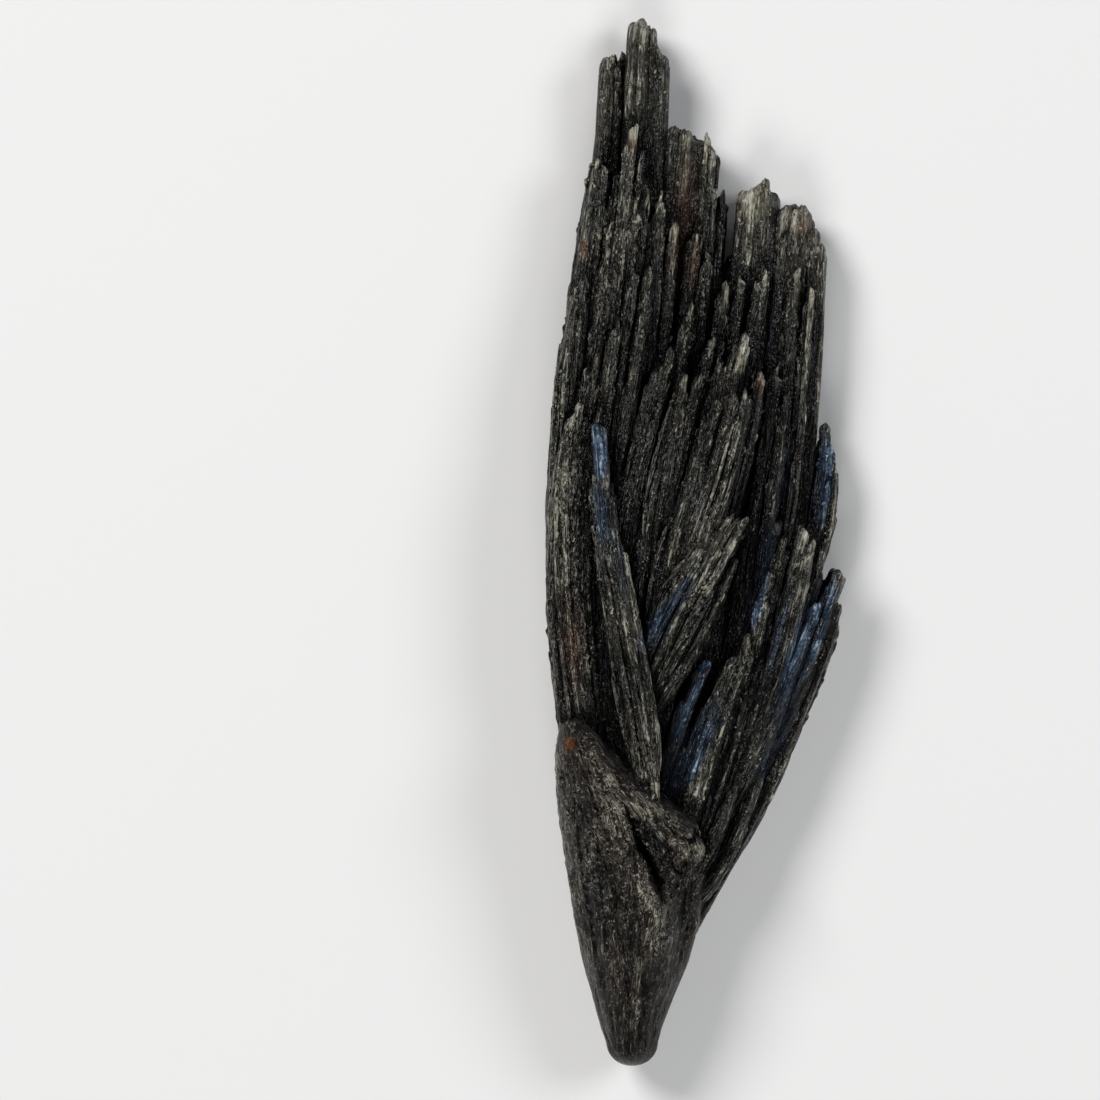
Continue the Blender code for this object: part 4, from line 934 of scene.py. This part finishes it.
def shades(tree, fac, stops):
    made = node(tree, "ShaderNodeValToRGB", {"Fac": fac})
    for i, (at, colour) in enumerate(stops):
        e = made.color_ramp.elements[i] if i < 2 else made.color_ramp.elements.new(at)
        e.position, e.color = at, (*colour, 1)
    return made.outputs["Color"]


GREY = [
    (0.20, (0.00200, 0.00191, 0.00148)),
    (0.36, (0.00400, 0.00382, 0.00296)),
    (0.50, (0.00720, 0.00688, 0.00533)),
    (0.60, (0.01450, 0.01385, 0.01073)),
    (0.71, (0.04000, 0.03820, 0.02960)),
    (0.82, (0.13000, 0.12415, 0.09620)),
    (0.95, (0.34000, 0.32470, 0.25160)),
]
ROOT_GREY = [
    (0.20, (0.0029, 0.0019, 0.0015)), (0.36, (0.0082, 0.0054, 0.0042)), (0.5, (0.0184, 0.0128, 0.0100)), (0.6, (0.034, 0.0250, 0.0190)),
    (0.70, (0.078, 0.063, 0.047)), (0.82, (0.190, 0.168, 0.128)), (0.95, (0.38, 0.355, 0.285)),
]
BLUE = [
    (0.20, (0.0022, 0.0046, 0.0100)), (0.36, (0.0046, 0.0105, 0.0225)), (0.5, (0.0088, 0.0205, 0.0420)), (0.6, (0.0150, 0.0345, 0.0670)),
    (0.71, (0.044, 0.076, 0.126)), (0.82, (0.115, 0.172, 0.250)), (0.95, (0.28, 0.36, 0.45)),
]
CREAM = [(0.22, (0.026, 0.0235, 0.015)), (0.36, (0.066, 0.061, 0.041)), (0.5, (0.125, 0.117, 0.082)), (0.62, (0.205, 0.195, 0.143)),
         (0.74, (0.32, 0.305, 0.235)), (0.86, (0.43, 0.415, 0.335)), (0.97, (0.52, 0.51, 0.43))]


def kyanite(name, root=False):
    mat = bpy.data.materials.new(name)
    mat.use_nodes = True
    t = mat.node_tree
    shader = t.nodes["Principled BSDF"]
    flow = node(t, "ShaderNodeAttribute", attribute_name="flow").outputs["Vector"]
    tone = node(t, "ShaderNodeSeparateXYZ", {0: node(t, "ShaderNodeAttribute", attribute_name="tone").outputs["Vector"]})
    tint = node(t, "ShaderNodeSeparateXYZ", {0: node(t, "ShaderNodeAttribute", attribute_name="tint").outputs["Vector"]})
    where = node(t, "ShaderNodeTexCoord").outputs["Object"]

    def stretched(across, along, detail=2.0, rough=0.55, distort=0.0):
        """Noise with that many features to the millimetre across and along the fibres."""
        at = node(t, "ShaderNodeMapping", {"Vector": flow, "Scale": (across, along, 1.0)}).outputs[0]
        return node(t, "ShaderNodeTexNoise", {"Vector": at, "Scale": 1.0, "Detail": detail, "Roughness": rough, "Distortion": distort}, noise_dimensions="3D").outputs["Fac"]

    streak = stretched(3.0, 0.22, 3.0, 0.62, 0.15)
    hair = stretched(5.6, 0.40, 1.0, 0.5, 0.1)
    fleck = stretched(5.6, 1.5, 1.0, 0.6, 0.25)
    patch = node(t, "ShaderNodeTexNoise", {"Vector": where, "Scale": 260.0, "Detail": 2.0, "Roughness": 0.55}).outputs["Fac"]
    grain = node(t, "ShaderNodeTexNoise", {"Vector": where, "Scale": 3600.0, "Detail": 1.0, "Roughness": 0.6}).outputs["Fac"]
    # tone x is the ridge tone: partly wear on exposed ridges, partly painted light on open ridges and outer faces and
    # painted shade in hollows and grooves, with the painted light and shade areas; tone y is wear, tone z each piece's
    # own tone
    ridge, worn, own = tone.outputs[0], tone.outputs[1], tone.outputs[2]
    # sharp-edged striations
    line = math_(t, "ABSOLUTE", math_(t, "SUBTRACT", stretched(4.4, 0.22, 1.0, 0.5, 0.2), 0.5))
    line = ramp(t, line, [(0.0, 0.0), (0.13, 1.0)])

    def weigh(parts, middle=0.5):
        """The sum of fields about their own middles, about a middle of their own."""
        total = middle
        for field, centre, weight in parts:
            part = node(t, "ShaderNodeMath", {0: field, 1: weight, 2: -centre * weight}, operation="MULTIPLY_ADD").outputs[0]
            total = math_(t, "ADD", total, part)
        return total

    def threads(across, along, thin, keep, keep_across, keep_along):
        """Thin broken lines that wander along the fibres."""
        near = math_(t, "ABSOLUTE", math_(t, "SUBTRACT", stretched(across, along, 1.0, 0.5, 0.15), 0.5))
        return math_(t, "MULTIPLY", ramp(t, near, [(0.0, 1.0), (thin, 0.0)]), ramp(t, stretched(keep_across, keep_along, 1.0, 0.5, 0.2), keep))

    thread = threads(4.0, 0.24, 0.042, [(0.49, 0.0), (0.57, 1.0)], 2.0, 0.6)
    curl = threads(3.0, 2.0 if root else 0.9, 0.055 if root else 0.050, [(0.50, 0.0), (0.58, 1.0)], 2.2, 1.3)

    # smooth glossy faces carry few streaks, weathered ones are full of pale crumbs
    crumbs = math_(t, "MULTIPLY", ramp(t, weigh([(fleck, 0.5, 1.5), (hair, 0.5, 0.5), (patch, 0.5, 0.9)]), [(0.54, 0.0), (0.74, 1.0)]), weigh([(worn, 0.0, 1.0), (ridge, 0.5, 0.8)], 0.16), clamp=True)
    shade = weigh([(streak, 0.5, 0.70), (hair, 0.5, 0.95), (line, 0.5, 0.12), (fleck, 0.5, 0.32), (patch, 0.5, 0.6), (ridge, 0.5, 1.0), (worn, 0.0, 0.05), (own, 0.5, 0.0 if root else 0.20), (crumbs, 0.0, 0.26)], 0.40)
    base = shades(t, shade, ROOT_GREY if root else GREY)
    blue = ramp(t, weigh([(tint.outputs[0], 0.0, 1.0), (streak, 0.5, 0.9), (hair, 0.5, 0.3)], 0.0), [(0.07, 0.0), (0.40, 1.0)])
    base = mix(t, blue, base, shades(t, shade, BLUE))
    base = mix(t, math_(t, "MULTIPLY", tint.outputs[1], ramp(t, fleck, [(0.3, 0.35), (0.65, 1.0)])), base, shades(t, shade, CREAM))
    # painted highlights: thin broken edges catch the light in the base colour
    painted_glints = math_(t, "ADD", math_(t, "MULTIPLY", thread, weigh([(ridge, 0.5, 1.2), (worn, 0.0, 0.3)], 0.32), clamp=True),
                  math_(t, "MULTIPLY", curl, weigh([(ridge, 0.5, 1.0), (worn, 0.0, 0.8)], 0.55 if root else 0.06), clamp=True), clamp=True)
    # painted glints of single cleavage faces
    spark = ramp(t, node(t, "ShaderNodeTexNoise", {"Vector": where, "Scale": 5200.0, "Detail": 1.0, "Roughness": 0.5}).outputs["Fac"], [(0.655, 0.0), (0.715, 1.0)])
    painted_glints = math_(t, "ADD", painted_glints, math_(t, "MULTIPLY", spark, weigh([(ridge, 0.5, 1.2), (patch, 0.5, 2.4), (worn, 0.0, -0.5)], 0.36), clamp=True), clamp=True)
    painted_glints = math_(t, "MULTIPLY", painted_glints, node(t, "ShaderNodeMath", {0: blue, 1: -0.75, 2: 1.0}, operation="MULTIPLY_ADD").outputs[0])
    # the painted highlights and glints turn the base colour pale grey, or pale blue on blue faces
    base = mix(t, painted_glints, base, mix(t, tint.outputs[0], (0.42, 0.405, 0.335, 1), (0.28, 0.35, 0.43, 1)))
    rust = math_(t, "MULTIPLY", tint.outputs[2], ramp(t, patch, [(0.3, 0.5), (0.6, 1.0)]))
    base = mix(t, rust, base, shades(t, shade, [(0.3, (0.110, 0.030, 0.006)), (0.6, (0.27, 0.075, 0.015)), (0.8, (0.34, 0.14, 0.04))]))
    t.links.new(base, shader.inputs["Base Color"])

    t.links.new(ramp(t, shade, [(0.35, 0.32 if root else 0.27), (0.8, 0.26)]), shader.inputs["Roughness"])
    shader.inputs["Specular IOR Level"].default_value = 0.30 if root else 0.37

    height = weigh([(streak, 0.5, 0.7), (hair, 0.5, 0.85), (line, 0.5, 0.35), (fleck, 0.5, 0.5), (crumbs, 0.5, 0.25), (thread, 0.0, 0.25), (curl, 0.0, 0.35), (grain, 0.5, 0.2)])
    bump = node(t, "ShaderNodeBump", {"Strength": 1.0, "Distance": 0.00030, "Height": height})
    t.links.new(bump.outputs[0], shader.inputs["Normal"])
    return mat


# ------------------------------------------------------------------ joining
def joined(name, shapes, material):
    """The shapes of one region as one closed mesh."""
    group = bpy.data.collections.new(name + "_shapes")
    bpy.context.scene.collection.children.link(group)
    first = None
    for i, shape in enumerate(shapes):
        shape.points[:, 2] = np.maximum(shape.points[:, 2], 0.02 + 0.01 * np.sin(shape.points[:, 0] * 3))
        if shape.volume() < 0:
            shape.quads, shape.tris = shape.quads[:, ::-1], shape.tris[:, ::-1]
        obj = bpy.data.objects.new(f"{name}_{i}", mesh_of(shape, f"{name}_{i}"))
        if first is None:
            first = obj
            bpy.context.scene.collection.objects.link(obj)
        else:
            group.objects.link(obj)
    union = first.modifiers.new("union", "BOOLEAN")
    union.operation, union.solver, union.operand_type, union.collection = "UNION", "MANIFOLD", "COLLECTION", group
    mesh = bpy.data.meshes.new_from_object(first.evaluated_get(bpy.context.evaluated_depsgraph_get()))
    for obj in [first, *group.objects]:
        data = obj.data
        bpy.data.objects.remove(obj)
        bpy.data.meshes.remove(data)
    bpy.data.collections.remove(group)
    piece = bpy.data.objects.new(name, mesh)
    bpy.context.scene.collection.objects.link(piece)
    mesh.name = name
    mesh.materials.clear()
    mesh.materials.append(material)
    mesh.shade_smooth()
    mesh.set_sharp_from_angle(angle=math.radians(38))
    faces = sum(len(p.vertices) - 2 for p in mesh.polygons)
    print(f"{name}: {len(shapes)} shapes, {faces} triangles, {time.time() - STARTED:.1f} s")
    return piece


# Where the surface is weathered to a grey crumb: x, y, half-length, half-width, lean, strength, lowest z
WEATHER = [
    (575, 520, 170, 26, -4, 0.75, 7.0), (625, 240, 110, 34, 8, 0.55, 6.0), (600, 330, 90, 26, 8, 0.5, 7.0), (715, 420, 60, 34, 20, 0.6, 9.6),
    (700, 570, 90, 30, 28, 0.7, 11.0), (640, 560, 160, 16, -12, 0.7, 12.0), (740, 660, 60, 18, 20, 0.6, 9.0), (810, 545, 40, 16, 20, 0.6, 7.4),
    (640, 800, 70, 60, -30, 0.6, 10.0), (690, 850, 40, 24, -30, 0.6, 10.0), (660, 330, 70, 40, 14, 0.35, 7.6), (800, 250, 40, 30, 0, 0.3, 3.0),
    (652, 908, 50, 11, -16, 1.0, 8.0), (628, 802, 50, 15, -50, 0.85, 9.0), (702, 850, 26, 13, -30, 1.0, 8.0),
]


# Areas with painted light and areas with painted shade, lighter and darker as a whole, in the same terms
PAINTED_LIGHT = [
    (625, 100, 90, 40, 6, 1.0, 0.0), (790, 240, 60, 50, 6, 0.3, 0.0), (570, 530, 90, 26, 0, 1.0, 8.0), (690, 850, 40, 30, -20, 1.0, 8.0),
    (596, 790, 60, 40, -20, 0.6, 8.0), (622, 212, 50, 38, 6, 1.0, 4.0), (572, 525, 60, 22, 0, 0.8, 8.0), (622, 100, 60, 26, 6, 0.6, 0.0),
    (672, 836, 36, 30, -20, 0.9, 8.0), (692, 893, 36, 26, -20, 1.5, 5.0), (652, 908, 50, 14, -16, 1.2, 8.0), (688, 705, 40, 12, 23, 1.2, 5.0),
]
PAINTED_SHADE = [
    (700, 430, 84, 44, 14, 0.8, 0.0), (766, 480, 120, 26, 10, 1.0, 0.0), (752, 700, 84, 34, 22, 0.9, 0.0), (690, 600, 60, 34, 30, 0.4, 0.0),
    (640, 390, 80, 34, 10, 0.5, 0.0), (716, 440, 60, 30, 16, 0.9, 0.0), (626, 902, 60, 32, 0, 0.5, 6.0), (592, 390, 90, 30, 8, 0.35, 0.0), (690, 190, 70, 30, 6, 0.25, 0.0),
]


CHIPS = {"kyanite_back_blades_left": 200, "kyanite_back_blades_right": 200, "kyanite_left_blades": 800, "kyanite_centre_blades_low": 500,
         "kyanite_centre_blades_high": 700, "kyanite_right_blades": 450, "kyanite_root": 700}


def build():
    groups = {"kyanite_back_blades_left": BACK[:8], "kyanite_back_blades_right": BACK[8:], "kyanite_left_blades": LEFT, "kyanite_centre_blades_low": CENTRE[:12], "kyanite_centre_blades_high": CENTRE[12:], "kyanite_right_blades": RIGHT, "kyanite_root": ROOT_BUNDLES}
    spines = {name: [Spine(spec) for spec in table] for name, table in groups.items()}
    solids = Solids([s for group in spines.values() for s in group])
    blade = kyanite("kyanite_blades")
    pieces, made = [], {}
    for name, group in spines.items():
        made[name] = []
        if name == "kyanite_root":
            root, rnd = Root(), random.Random(5)
            made[name] = [root.lump()] + [root.flake(rnd, i) for i in range(230)]
        for spine in group:
            made[name].append(core(spine))
            made[name] += laths(spine, solids)
    every = np.concatenate([shape.points for shapes in made.values() for shape in shapes])
    ground, valley = Ground(every, 0.3, 4), Ground(every, 0.6, 6)
    top, rng = Top(made), np.random.default_rng(11)
    for number, (name, shapes) in enumerate(made.items()):
        shapes += chips(top, number, CHIPS[name], rng, name == "kyanite_root")
    for shapes in made.values():
        for shape in shapes:
            # painted light and shade: points standing proud of the softened surface are lightened, points in hollows
            # and crevices are darkened
            out, deep = ground.exposure(shape.points), valley.exposure(shape.points)
            shape.tone[:, 0] = 0.45 * shape.tone[:, 0] + 0.55 * np.clip(0.62 + out / 1.1, 0, 1) - 0.45 * smooth(-0.2, -2.2, deep)
            # painted light and painted shade over whole areas
            shape.tone[:, 0] += 0.07 * spots(shape.points, PAINTED_LIGHT) - 0.2 * spots(shape.points, PAINTED_SHADE)
            # the face at the very foot stands in the open, however far it is below the crest, so its painted hollow
            # shade is set to a middle tone
            shape.tone[:, 0] += smooth(1036, 1060, CENTRE_Y - shape.points[:, 1] / UNIT) * (0.46 - shape.tone[:, 0])
            shape.tone[:, 1] = np.maximum(0.55 * shape.tone[:, 1], spots(shape.points, WEATHER))
    print(f"shapes made at {time.time() - STARTED:.1f} s")
    for name, shapes in made.items():
        pieces.append(joined(name, shapes, blade if name != "kyanite_root" else kyanite("kyanite_root", root=True)))
    return pieces


pieces = build()
for piece in pieces:
    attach(piece, "root")
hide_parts("kyanite_fan")

# ------------------------------------------------------------------ floor, light, camera
floor_mesh = bpy.data.meshes.new("floor")
floor_mesh.from_pydata([(-6, -6, 0), (6, -6, 0), (6, 6, 0), (-6, 6, 0)], [], [(0, 1, 2, 3)])
floor = bpy.data.objects.new("floor", floor_mesh)
bpy.context.scene.collection.objects.link(floor)
paper = bpy.data.materials.new("paper")
paper.use_nodes = True
paper.node_tree.nodes["Principled BSDF"].inputs["Base Color"].default_value = (0.85, 0.85, 0.853, 1)
paper.node_tree.nodes["Principled BSDF"].inputs["Roughness"].default_value = 0.9
paper.node_tree.nodes["Principled BSDF"].inputs["Specular IOR Level"].default_value = 0.1
floor_mesh.materials.append(paper)


def area(name, at, size, energy, colour=(1, 1, 1)):
    data = bpy.data.lights.new(name, "AREA")
    data.shape, data.size, data.energy, data.color = "DISK", size, energy, colour
    obj = bpy.data.objects.new(name, data)
    obj.location = at
    obj.rotation_euler = (Vector((0, 0, 0)) - Vector(at)).to_track_quat("-Z", "Y").to_euler()
    bpy.context.scene.collection.objects.link(obj)
    return obj


area("key", (-0.54, 0.48, 0.76), 0.46, 7.4, (1.0, 0.99, 0.97))
area("right", (0.66, 0.26, 0.68), 0.46, 3.4, (0.97, 0.985, 1.0))
area("low", (-0.06, -0.72, 0.66), 0.46, 3.2, (1.0, 0.995, 0.985))
world = bpy.data.worlds.new("studio")
world.use_nodes = True
world.node_tree.nodes["Background"].inputs["Color"].default_value = (0.93, 0.94, 0.95, 1)
world.node_tree.nodes["Background"].inputs["Strength"].default_value = 0.10
bpy.context.scene.world = world
bpy.context.scene.view_settings.view_transform = "Standard"

camera_data = bpy.data.cameras.new("camera")
camera = bpy.data.objects.new("camera", camera_data)
bpy.context.scene.collection.objects.link(camera)
DISTANCE, REFERENCE = 1.2, 0.008
camera_data.sensor_width = 36.0
camera_data.lens = 36.0 * DISTANCE / (1100 * UNIT * MM)
camera_data.clip_start, camera_data.clip_end = 0.05, 20
camera.location = ((550 - CENTRE_X) * UNIT * MM, (CENTRE_Y - 550) * UNIT * MM, REFERENCE + DISTANCE)
bpy.context.scene.camera = camera

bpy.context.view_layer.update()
print(f"scene.py took {time.time() - STARTED:.1f} s")
